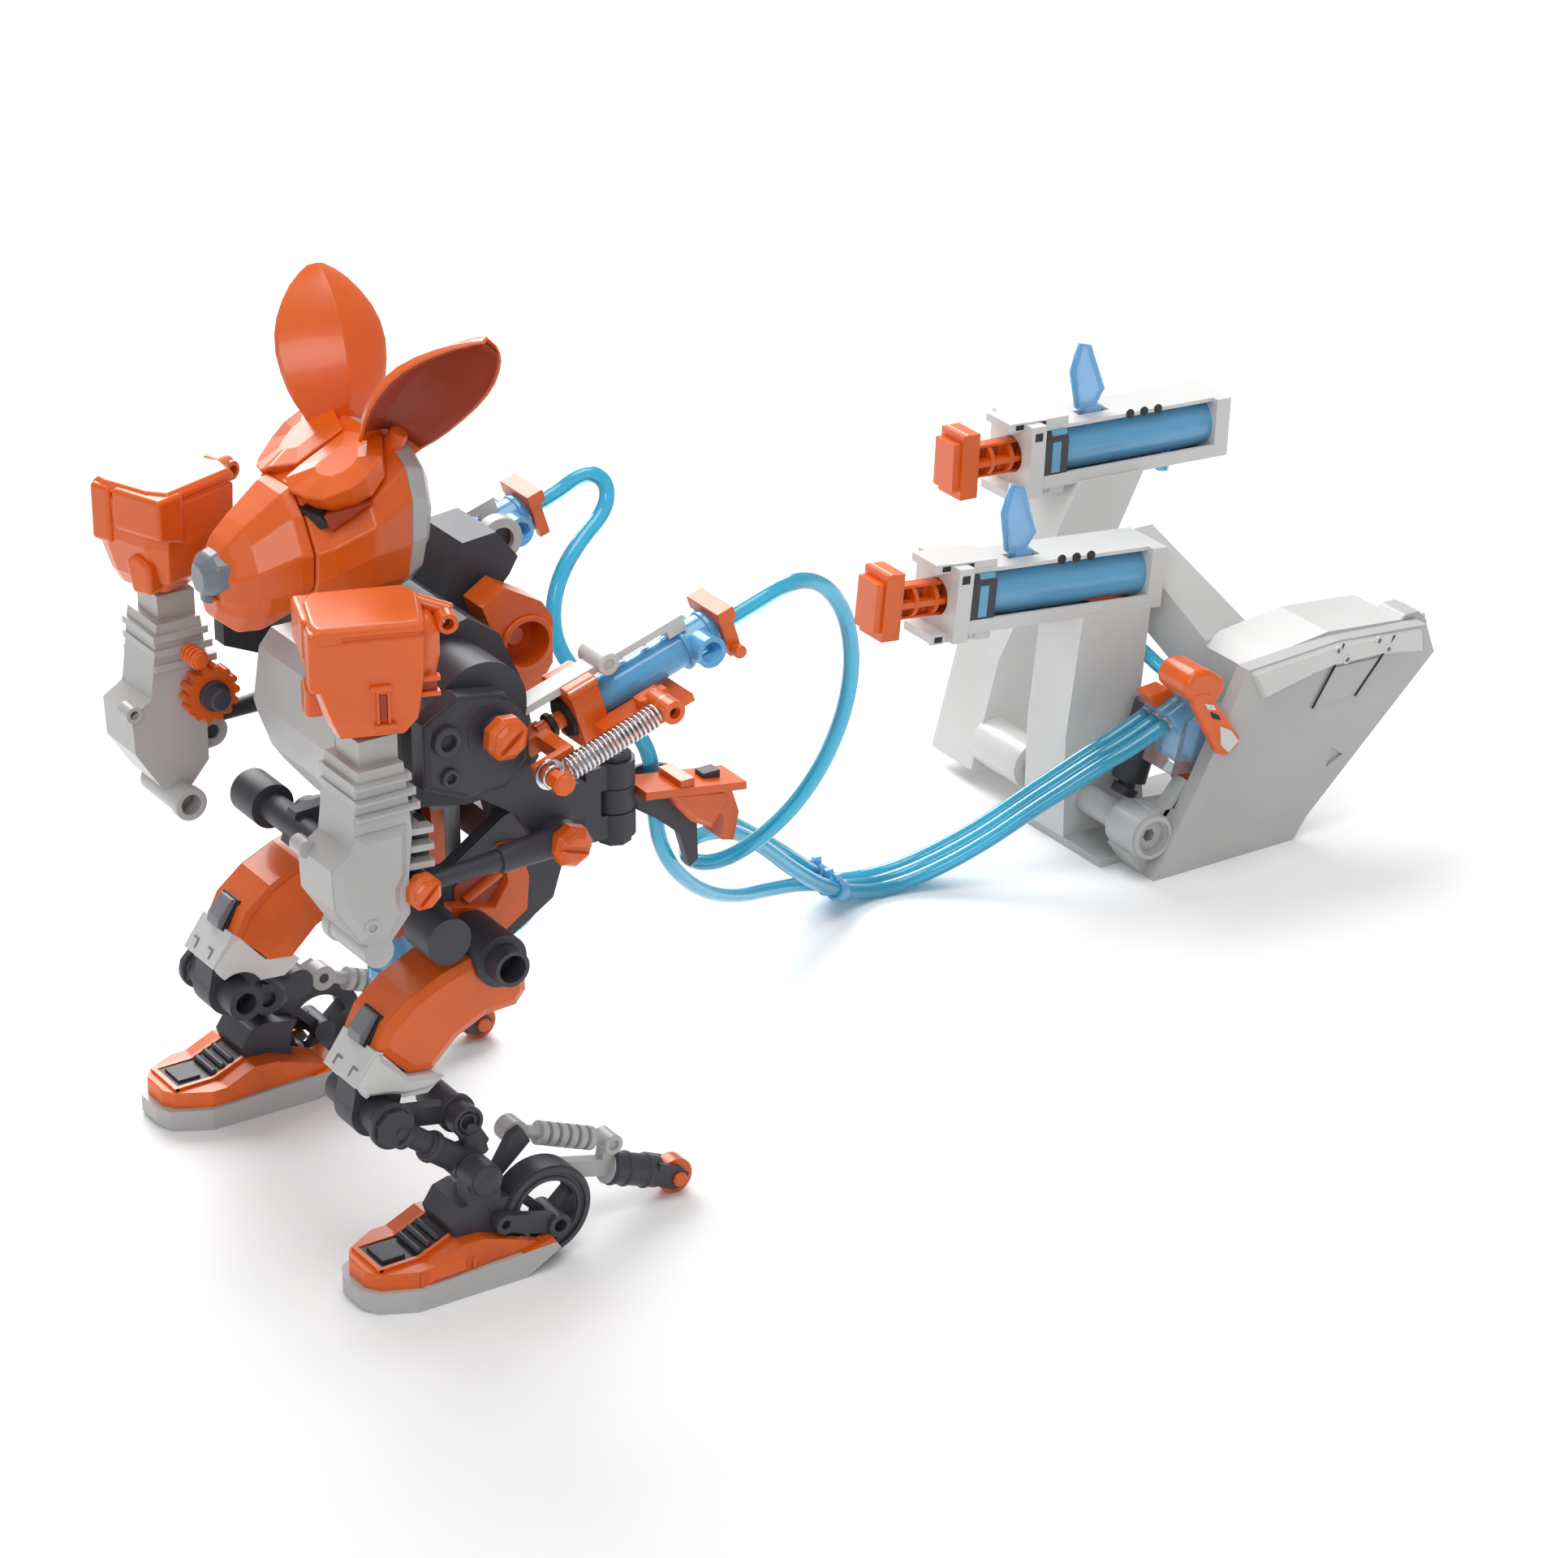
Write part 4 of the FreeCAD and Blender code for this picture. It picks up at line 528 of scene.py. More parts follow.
# ---- gloves
def glove(name, flip):
    """Boxing glove with a rimmed top, knuckle lobes in front, a latch outside and a thumb behind."""
    forearm = name + "_forearm"
    run, out = Vector((0.33, 0.944, 0)), Vector((0.944, -0.33, 0))
    middle, long_share, wide_share = Vector((59, -31, 0)), 0.89, 0.93

    def spot(u, w, z):
        return middle + run * (u * long_share) + out * (w * wide_share) + Vector((0, 0, z))

    def block(build, u0, u1, w0, w1, z0, z1, material, lower=0):
        build.rings([[spot(u0, w, z0 + lower), spot(u1, w, z0), spot(u1, w, z1), spot(u0, w, z1)]
                     for w in (w0, w1)], material)

    levels = [(176.8, [(-9.5, -7), (9.5, -7), (11, -3), (10.5, 9), (9.5, 12.6), (-9.8, 12.6), (-11, 9),
                (-11, -3)]),
              (181.5, [(-12.5, -12), (12.5, -12), (15.6, -7), (15.2, 9.5), (13.6, 14), (-12, 14), (-13.8, 9.5),
                (-15, -6)]),
              (193, [(-15, -14.5), (15, -14.5), (18.6, -8), (16.8, 10), (15.4, 14.6), (-16.4, 14.6),
                     (-17.8, 10), (-18, -7)]),
              (205.6, [(-14.5, -14.8), (15.5, -14.8), (19, -8), (17, 10.2), (15.8, 15), (-17, 15),
                (-18.2, 10.2), (-17.6, -8)])]
    top = levels[-1][1]

    def drawn_in(step):
        return [(u * (1 - step / 17), w * (1 - step / 14)) for u, w in top]

    body = Build(name + "_glove_body", flip)
    body.rings([[spot(u, w, z) for u, w in ring] for z, ring in levels]
               + [[spot(u, w, z) for u, w in drawn_in(step)]
                  for z, step in ((206.1, 0.8), (207, 0.8), (207.3, -0.1), (208.8, -0.1), (210.2, 1.3))],
               ORANGE)
    body.done(forearm, 0.7, [name + "_glove"], 3, 20)
    parts = Build(name + "_glove_parts", flip)
    block(parts, -19.6, -8, -15.6, 5, 193.5, 209.4, ORANGE, 3.5)
    block(parts, -19.2, -8, 6.4, 14.8, 190.5, 209, ORANGE, 1)
    parts.rings([[spot(u, w, z) for w, z in ((-9, 178.6), (-1, 178), (1.5, 187.5), (-3, 190.5), (-9, 187.5))]
                 for u in (-18.6, -12)], ORANGE)
    parts.done(forearm, 1.5, (), 4, 30)
    recess = Build(name + "_glove_recess", flip)
    recess.pipe(spot(-19, 10.4, 197.5), spot(-17, 10.4, 197.5), 2.1, 1.5, ORANGE, 24, 0.2)
    recess.done(forearm, 0)
    latch = Build(name + "_glove_latch", flip)
    block(latch, -0.9, 5.8, 13.8, 15.9, 190.8, 192.5, ORANGE)
    block(latch, 0.3, 7, 13.8, 15.9, 179.4, 181.1, ORANGE)
    block(latch, 0.9, 1.9, 13.8, 15.2, 181.1, 190.8, ORANGE)
    block(latch, 4.3, 5.3, 13.8, 15.2, 181.1, 190.8, ORANGE)
    # Dark red block set in the latch frame: painted shade in the recess between its bars.
    block(latch, 1.9, 4.3, 13.6, 14.75, 182.4, 189.6, SHADED_ORANGE)
    latch.done(forearm, 0.3)
    thumb = Build(name + "_glove_thumb", flip)
    widest = ((13, -9), (20.8, -9), (23.4, -3.4), (22.6, 5.4), (18.4, 9), (13, 9))
    thumb.rings([[spot(u, w, z) for u, w in ring] for z, ring in (
        (184.5, ((13, -8), (18.5, -8), (20.5, -3), (20, 4.5), (17, 8), (13, 8))),
        (196, widest), (203.6, widest),
        (206.8, ((13, -7.4), (18.6, -7.4), (20.6, -3), (19.8, 4.4), (17, 7.4), (13, 7.4))))], ORANGE)
    thumb.done(forearm, 1.3, (), 4, 25)
    bars = Build(name + "_glove_bars", flip)
    for low in (186, 190.4):
        block(bars, 14, 21.6, 7.4, 10.4, low, low + 1.4, ORANGE)
    # Dark red block behind the bars: painted shade in the gap under them.
    block(bars, 14, 20.8, 7, 9.2, 187.4, 190.4, SHADED_ORANGE)
    bars.rod(spot(17, -6, 208), spot(27.5, -1.5, 205.6), 2.3, ORANGE)
    bars.pipe(spot(25.2, -6, 204.6), spot(25.2, 5.4, 204.6), 3, 1.6, ORANGE)
    bars.done(forearm, 0.3)


both(glove)


# ---- knobs, pins and springs
def knob(build, base, radius, height, way=(1, 0, 0), slot_turn=0.7, material=ORANGE):
    """Eight-sided cap with a sloped crown that a slot splits in two."""
    base, way = Vector(base), Vector(way).normalized()
    side = Vector((0, math.cos(slot_turn), math.sin(slot_turn)))
    other = way.cross(side)

    def place(angle, reach, along):
        return base + way * along + (side * math.cos(angle) + other * math.sin(angle)) * reach

    angles = [math.radians(22.5 + 45 * k) for k in range(8)]
    wall = ((0, 0.94), (height * 0.12, 1), (height * 0.55, 1), (height * 0.80, 0.80))
    build.rings([[place(angle, radius * share, along) for angle in angles] for along, share in wall],
                material)
    gap = radius * 0.13
    half = [math.radians(angle) for angle in (-67.5, -22.5, 22.5, 67.5)]
    for sign in (1, -1):
        levels = []
        for up, share in ((0.80, 0.80), (1, 0.58)):
            middle, edge = base + way * height * up, other * radius * share
            bow = [(side * math.cos(angle) + other * math.sin(angle)) * radius * share for angle in half]
            levels.append([middle + sign * spot for spot in (side * gap - edge, *bow, side * gap + edge)])
        build.rings(levels, material)


DRIVE_START, DRIVE_TILT = (53, 40.9, 161.1), math.radians(17.5)
FRONT_PIN, REAR_PIN = (-23.5, -1.6), (15, -0.9)


def drive(along, over, aside=0):
    """A place in the drive syringe's own axes, as in the CAD source."""
    x, y, z = DRIVE_START
    lengthwise, upward = math.cos(DRIVE_TILT), math.sin(DRIVE_TILT)
    return Vector((x + aside, y + along * lengthwise - over * upward,
                   z + along * upward + over * lengthwise))


def block_at(build, place, a0, a1, o0, o1, x0, x1, material):
    """Block along a syringe's axes: place turns (along, over, across) into a spot."""
    build.rings([[place(a0, o0, x), place(a1, o0, x), place(a1, o1, x), place(a0, o1, x)]
                 for x in (x0, x1)], material)


def joint_caps(name, flip):
    """Slotted knobs of the arm, and the pins that hold the spring."""
    shoulder = Build(name + "_shoulder_knob", flip)
    knob(shoulder, (67, 6.5, 165.9), 6.7, 6.4, slot_turn=-0.9)
    shoulder.rod((63.6, 6.5, 165.9), (67.2, 6.5, 165.9), 5, DARK, 28)
    shoulder.done("torso", 0.3)
    crank = Build(name + "_crank_knob", flip)
    knob(crank, (69, 25.5, 128.9), 6.4, 6.2, slot_turn=1.25)
    crank.done(name + "_upper_arm", 0.3)
    elbow = Build(name + "_elbow_knob", flip)
    knob(elbow, (68.6, -21.5, 126.9), 5.5, 5.6, slot_turn=-0.8)
    elbow.done(name + "_upper_arm", 0.3)
    pin = Build(name + "_spring_pin_cap", flip)
    tip = drive(*FRONT_PIN, 24.2)
    pin.rod(drive(*FRONT_PIN, 17.2), tip, 2.7, ORANGE, 8, 0.2)
    pin.turn(tip, tip + Vector((3.1, 0, 0)), [(0, 3.2), (0.4, 3.6), (2.3, 3.6), (3.1, 2.6)], ORANGE, 8, False)
    pin.rod(drive(*FRONT_PIN, 18), drive(*FRONT_PIN, 18.8), 4.6, STEEL, 32, 0.1)
    pin.done(name + "_punch_rod", 0.25)
    rear = Build(name + "_spring_rear_pin", flip)
    rear.cup(drive(*REAR_PIN, 14), drive(*REAR_PIN, 25.6), 3.5, 1.7, 3, ORANGE, BLACK)
    rear.done("torso", 0.2)


def spring(name, flip):
    """Steel coil between the front pin and the rear pin, with an eye at each end."""
    front, rear = drive(-19.6, -1.4, 21.2), drive(11.2, -1, 21.2)
    axis = (rear - front).normalized()
    side = Vector((1, 0, 0))
    other = axis.cross(side)
    turns, steps, reach = 21, 16, 3.15
    total = turns * steps
    angles = [2 * math.pi * k / steps for k in range(total + 1)]
    wire = [front + (rear - front) * (k / total) + (side * math.cos(angle) + other * math.sin(angle)) * reach
            for k, angle in enumerate(angles)]

    def eye(centre, start_angle):
        return [Vector(centre) + (axis * math.cos(start_angle + 2 * math.pi * k / 20)
                    + other * math.sin(start_angle + 2 * math.pi * k / 20)) * 3.1
                for k in range(19)]

    build = Build(name + "_spring_coil", flip)
    build.path(eye(drive(*FRONT_PIN, 20.6), 0.3)[::-1] + wire + eye(drive(*REAR_PIN, 20.2), 3.4),
               0.48, STEEL, 8)
    coil = build.done("torso", 0, [name + "_return_spring"])
    coil.parent = None
    del coil["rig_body"]
    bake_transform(coil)


both(joint_caps)
both(spring)


# ---- legs
def inset(outline, step):
    """The same outline moved inwards by a step."""
    count = len(outline)
    turn = sum(a[0] * b[1] - b[0] * a[1] for a, b in zip(outline, outline[1:] + outline[:1]))
    sign = 1 if turn > 0 else -1
    moved = []
    for k in range(count):
        before, here, after = outline[k - 1], outline[k], outline[(k + 1) % count]
        first = Vector((here[0] - before[0], here[1] - before[1])).normalized()
        second = Vector((after[0] - here[0], after[1] - here[1])).normalized()
        inward = Vector((-first.y, first.x)) * sign + Vector((-second.y, second.x)) * sign
        inward = inward.normalized() / max(0.6, inward.length / 2)
        moved.append((here[0] + inward.x * step, here[1] + inward.y * step))
    return moved


def bevelled(build, x0, x1, outline, step, material):
    """Plate whose outer face is smaller than its base, with sloped sides."""
    build.rings([[(x0, y, z) for y, z in outline], [(x0 + (x1 - x0) * 0.25, y, z) for y, z in outline],
                 [(x1, y, z) for y, z in inset(outline, step)]], material)


def slab(name, body, x0, x1, outline, material, bevel, replaces=(), segments=2):
    """A piece that is one plate."""
    Build(name).side(x0, x1, outline, material).done(body, bevel, replaces, segments)


def foot_parts(name, flip):
    """Black tile with treads on the upper, and its orange rim."""
    tile = Build(name + "_foot_tile", flip)
    tile.box(57, 70.5, -39, -27, 11.6, 12.75, BLACK)
    tile.side(57, 70.5, [(-27.2, 11.6), (-16.8, 16), (-16.8, 17), (-27.2, 12.75)], BLACK)
    tile.box(59, 68.6, -37.6, -30.2, 12.3, 13.6, DARK)
    for k in range(3):
        y = -26.2 + 3 * k
        tile.rod((57.4, y, 13.5 + 0.42 * (y + 26.6)), (70.1, y, 13.5 + 0.42 * (y + 26.6)), 1, DARK, 12)
    tile.done(name + "_foot", 0.2)
    rim = Build(name + "_foot_rim", flip)
    for x0, x1 in ((55.6, 57), (70.5, 71.9)):
        rim.side(x0, x1, [(-40.4, 11.4), (-27, 11.8), (-17, 16), (-17, 17.4), (-27.4, 13.2),
                    (-40.4, 13)], ORANGE)
    rim.box(55.6, 71.9, -40.6, -39, 11.4, 13, ORANGE)
    for y in (-30.5, -13.5):
        rim.box(77.3, 78.3, y, y + 0.8, 7, 11.6, ORANGE)
    bevelled(rim, 77.5, 78.4, [(-28, 7.4), (-15, 7.9), (-15.5, 12.5), (-27, 10.8)], 0.9, ORANGE)
    rim.done(name + "_foot", 0.25)


def thigh_parts(name, flip):
    """Smooth orange arc over the beam, off-white knee guard, grey latch in a black recess."""
    crest = [(-28.4, 71), (-25, 77.6), (-16.5, 84.4), (-6, 89.2), (3.6, 91.6)]
    inner = [(3, 87.5), (-5.5, 85.5), (-15, 80.5), (-22.5, 74), (-25.8, 68.8)]
    armour = Build(name + "_thigh_face", flip)
    armour.side(33.4, 51.4, crest + inner, ORANGE)
    bevelled(armour, 51.2, 53.4, crest + [(12.5, 90.8), (20.4, 83.5), (20.8, 76.6), (17.5, 72.6), (7.5, 72.1),
                (-2, 67.9), (-10.5, 59.9), (-18, 61)], 2.8, ORANGE)
    armour.done(name + "_thigh", 0.5)
    latch = Build(name + "_thigh_latch", flip)
    latch.side(38.6, 48.4, [(-30, 70.4), (-24.2, 79.4), (-23, 78.4), (-28.4, 69.4)], BLACK)
    latch.side(40, 47, [(-31.2, 71.4), (-30.6, 74.4), (-26, 79.6), (-24.2, 78.8), (-28.8, 70.6)], MID)
    latch.done(name + "_thigh", 0.3)
    guard = Build(name + "_knee_face", flip)
    guard.side(34.4, 53, [(-36.2, 61.6), (-29.2, 71.4), (-26.4, 70), (-32.8, 60.4)], PALE)
    bevelled(guard, 52.8, 54.6, [(-35.6, 61.6), (-28.4, 70.4), (-18.9, 60.6), (-10.6, 59.3), (-7.4, 57.5),
                (-12.8, 55), (-20.6, 55.4), (-25.8, 56.9), (-32.8, 58.2)], 1.3, PALE)
    for x in (38.5, 47.5):
        guard.side(x, x + 0.6, [(-35.5, 63.1), (-33.6, 65.8), (-33.4, 65.6), (-35.3, 62.9)], MID)
        guard.side(x, x + 3, [(-34, 65.3), (-33.6, 65.9), (-33.4, 65.7), (-33.8, 65.1)], MID)
    guard.done(name + "_thigh", 0.35)


def shin_parts(name, flip):
    """Rings and collars of the shin, heel wheel and folding prop."""
    leg = Build(name + "_shin_parts", flip)
    leg.pipe((58, -28, 50), (60.4, -28, 50), 7, 5.6, DARK)
    leg.pipe((61, -5, 45.5), (62.6, -5, 45.5), 4.9, 3.7, DARK)
    leg.pipe((61, -5, 45.5), (62.2, -5, 45.5), 3, 2.1, DARK)
    leg.pipe((54, -5, 45.5), (56.2, -5, 45.5), 5.9, 4.6, DARK)
    for start, size in (((59.6, -25.4, 47), 4.3), ((61, -17.6, 41.6), 4.9)):
        leg.rod(Vector(start), Vector(start) + Vector((0.1, 1.7, -1.6)), size, DARK)
    leg.done(name + "_shin", 0.25)
    ball = Build(name + "_ankle_ball", flip)
    ball.turn((73.4, -6.6, 33), (78, -6.6, 33), [(0, 5), (1.2, 5), (2.6, 4.5), (3.5, 3.3), (4, 1.6)],
              DARK, 28)
    ball.pipe((72.6, 14, 15.9), (73.8, 14, 15.9), 14, 12.4, DARK, 48)
    ball.pipe((72.6, 14, 15.9), (73.6, 14, 15.9), 11.2, 9.9, DARK, 48)
    ball.rod((65.6, 6.6, 8.6), (72.4, 6.6, 8.6), 2.2, LIGHT)
    ball.done(name + "_foot", 0.2)
    prop = Build(name + "_prop_pins", flip)
    for x0, x1 in ((52.3, 53.9), (62.1, 63.7)):
        prop.rod((x0, 65.2, 5.7), (x1, 65.2, 5.7), 2.4, ORANGE, 8, 0.4)
    prop.pipe((61, 43.2, 23.4), (62.2, 43.2, 23.4), 3.2, 1.6, LIGHT)
    prop.done(name + "_prop", 0.2)
    collar = Build(name + "_prop_collars", flip)
    axis = Vector((0, 0.931, -0.364))
    for step in (1.2, 6, 13.4):
        start = Vector((58, 42.5, 14.6)) + axis * step
        collar.rod(start, start + axis * 1.5, 5.4, DARK)
    collar.done(name + "_prop", 0.2)


both(foot_parts)
both(thigh_parts)
both(shin_parts)


# ---- arms, drive and torso
def arm_parts(name, flip):
    """Faces, rings and axles of the forearm, shoulder and back guard."""
    forearm = name + "_forearm"
    face = Build(name + "_forearm_face", flip)
    bevelled(face, 69.6, 72, [(-41.8, 148.5), (-26, 148.5), (-26.4, 133.6), (-28.6, 130), (-28.6, 121.5),
                (-33.2, 113.6), (-41.3, 116.6), (-48.6, 128.2), (-49.1, 140),
                (-43.2, 143.8)], 2.4, LIGHT)
    face.cup((70.5, -38.5, 121), (72.6, -38.5, 121), 2.4, 1.3, 1.2, LIGHT, BLACK)
    for k in range(3):
        bevelled(face, 70.6, 71.8, [(-41.4, 161.8 - 4.6 * k), (-25.2 + 1.2 * k, 161.8 - 4.6 * k),
                    (-25.2 + 1.2 * k, 163.4 - 4.6 * k), (-41.4, 163.4 - 4.6 * k)], 0.5, LIGHT)
        face.box(55.4, 67.4, -17.2, -15.9, 132.8 + 5.2 * k, 134 + 5.2 * k, PALE)
    face.done(forearm, 0.25)
    surround = Build(name + "_forearm_frame", flip)
    for x0, x1, z0, z1 in ((56.5, 68.6, 156, 158.4), (56.5, 68.6, 147, 149.4), (56.5, 59, 149, 156.4),
                (66.1, 68.6, 149, 156.4)):
        surround.box(x0, x1, -26.6, -22.8, z0, z1, DARK)
    surround.box(58.2, 64.4, -20.4, -15.8, 133.9, 144.9, DARK)
    surround.turn((46.3, -25.5, 143.5), (39, -25.5, 143.5), [(0, 4.6), (2.4, 4.6), (2.5, 3.4), (5.6, 3.4),
                (6.2, 2.8)], DARK)
    surround.done(forearm, 0.25)
    axle = Build(name + "_forearm_axle", flip)
    for k in range(4):
        axle.rod((42 + 2.1 * k, -31, 157), (43.3 + 2.1 * k, -31, 157), 3, ORANGE)
    axle.rod((41.5, -31, 157), (51.2, -31, 157), 2.2, ORANGE)
    axle.pipe((44.6, -35, 111), (48.4, -35, 111), 5.2, 3.2, LIGHT)
    axle.done(forearm, 0.2)
    plate = Build(name + "_shoulder_face", flip)
    bevelled(plate, 62.4, 64, [(-15.6, 171.8), (-4.5, 177.6), (9, 175), (16.9, 166.5), (16.9, 154.8),
                (9.3, 147.5), (-2.5, 147.5), (-15.6, 153.4)], 1.6, DARK)
    plate.pipe((63.6, -9.5, 166.9), (66, -9.5, 166.9), 4.4, 2.5, DARK)
    plate.pipe((63.6, -8.6, 155.6), (65.4, -8.6, 155.6), 2.8, 1.5, DARK)
    plate.done(name + "_upper_arm", 0.25)
    guard = Build(name + "_guard_face", flip)
    guard.pipe((24, 39.5, 170), (25.2, 39.5, 170), 8.6, 6.9, ORANGE, 40, 0.4)
    guard.rod((16, 39.5, 170), (18, 39.5, 170), 3.2, ORANGE)
    guard.done("torso", 0.3)


def pelvis_parts(name, flip):
    """Orange C-frame on the outside of the pelvis, round a window painted dark red as the shade inside it."""
    outline = [(5.7, 90.4), (10.7, 88.9), (22.7, 84.9), (32.7, 91.4), (33.7, 102.4), (30, 114),
               (23, 114.4), (24.7, 102.4), (20.7, 96.4), (10.7, 99.4), (5.7, 100.4)]
    frame_side = Build(name + "_pelvis_face", flip)
    # Dark red plate behind the frame: painted shade in the frame's window.
    frame_side.side(31.6, 32.6, [(9, 98), (21, 96), (26, 103), (25, 112), (14, 108), (9, 104)], SHADED_ORANGE)
    bevelled(frame_side, 31.8, 34.6, outline, 1, ORANGE)
    frame_side.rod((33, 12, 99.4), (33, 24, 105.4), 1.6, ORANGE, 12)
    frame_side.done("base", 0.4)


def lever_ring():
    """Ring of the lever on the right drive."""
    ring = Build("lever_ring")
    ring.pipe((-42.4, 67.2, 174), (-37.4, 67.2, 174), 7.2, 4.2, LIGHT, 36)
    ring.rod((-41.6, 67.2, 174), (-39.4, 67.2, 174), 4.3, BLACK, 12, 0.2)
    ring.side(-42, -38.6, [(62.4, 169.2), (66, 167.2), (58, 160), (54.6, 163.2)], LIGHT)
    ring.done("torso", 0.4)


def drive_parts(name, flip):
    """Holder, rail and outlet details of a drive syringe."""
    top = Build(name + "_holder_top", flip)
    top.rings([[drive(a, o, x) for a, o, x in ((-6.5, over, -7.4 + cut), (3.5, over, -7.4 + cut),
                (3.5, over, 8 - cut), (-6.5, over, 8 - cut))]
               for over, cut in ((8.6, 0), (10.2, 0), (11.4, 1.4))], ORANGE)
    block_at(top, drive, -1.6, 11.6, -8, -2.6, 13.4, 14.8, ORANGE)
    block_at(top, drive, 11.2, 18.2, -8.2, 1.2, 15.2, 16.4, ORANGE)
    top.done("torso", 0.5)
    black = Build(name + "_drive_black", flip)
    black.rod(drive(-7.4, 0), drive(-5.4, 0), 6.6, BLACK, 8, 0.5)
    black.pipe(drive(-12.5, 0), drive(-10.5, 0), 3.8, 2.6, BLACK, 24)
    block_at(black, drive, 1, 9, -6.8, -3.8, 14.6, 14.95, BLACK)
    black.done("torso", 0.2)
    rail = Build(name + "_rail_parts", flip)
    rail.pipe(drive(9, 11.2, -6), drive(9, 11.2, 6), 3.4, 1.7, PALE)
    for along in (16, 24):
        rail.rod(drive(along, 6, -2), drive(along, 9.4, -2), 1.4, DARK, 12)
    rail.pipe(drive(33, 0, 0), drive(34.6, 0, 0), 6.9, 5.8, BLUE, 32)
    rail.pipe(drive(41.6, 0, 0), drive(43.4, 0, 0), 6.8, 5.8, BLUE, 32)
    rail.done("torso", 0.2)
    clip = Build(name + "_outlet_clip", flip)
    block_at(clip, drive, 44, 49.6, 4.4, 8.4, -8.4, 8.4, ORANGE)
    block_at(clip, drive, 44.2, 48.4, -6.2, 5, 6.6, 8.2, ORANGE)
    clip.rod(drive(46.3, -4.6, 7), drive(46.3, -4.6, 11.6), 2, ORANGE, 16)
    clip.done("torso", 0.5)


both(arm_parts)
both(pelvis_parts)
both(drive_parts)
lever_ring()


# ---- tail and tube clips
def tail_parts():
    """Cap on the tail boss, ring round the right tube, and the orange wing."""
    cap = Build("tail_cap")
    knob(cap, (0, 82, 114.3), 5.6, 3.4, (0, 0, 1), 0, DARK)
    cap.rod((0, 82, 87.2), (0, 82, 90.2), 5.4, DARK, 8)
    cap.done("base", 0.25)
    ring = Build("tail_ring")
    ring.pipe((-12, 103.5, 92.8), (-12, 103.5, 99.2), 8.2, 6.4, DARK)
    ring.done("tail", 0.3)
    wing = Build("tail_wing")
    bevelled(wing, 5, 6.6, [(98.4, 100.2), (118, 97.2), (118.6, 92.4), (112.8, 85.6), (106.4, 89.6),
                (101.4, 95.2)], 1.2, ORANGE)
    wing.box(-5.4, 7.4, 101, 106, 101.6, 104.4, ORANGE)
    wing.box(-2.4, 2.6, 112, 118, 99, 102.2, DARK)
    wing.done("tail", 0.5)


def tube_clips():
    """Small blue clips that hold the three tubes where they run together."""
    clips = Build("tube_clips")
    for place, way in (((-78.8, 206.5, 10.6), (-4.2, 12.5, -9.7)), ((-73.6, 207.9, 7.7), (-4.7, 19.4, -9.3)),
                ((-67.2, 207.5, 8.8), (-5.5, 18, -8.8))):
        place, way = Vector(place), Vector(way).normalized()
        clips.pipe(place - way * 2.2, place + way * 2.2, 3.7, 2.5, BLUE)
        clips.box(place.x - 1, place.x + 1, place.y - 1.5, place.y + 1.5, place.z + 3.2, place.z + 6, BLUE)
    clips.done("base", 0.2)


tail_parts()
tube_clips()


# ---- control unit
NEAR = (-80, 250, 98.8, -6)
FAR = (-137, 320, 115, -3)


def grip(unit, along, over, x):
    """A place in a trigger syringe's own axes, as in the CAD source."""
    across_at, start, up, tilt = unit
    tilt = math.radians(tilt)
    return (across_at + x, start + along * math.cos(tilt) - over * math.sin(tilt),
            up + along * math.sin(tilt) + over * math.cos(tilt))


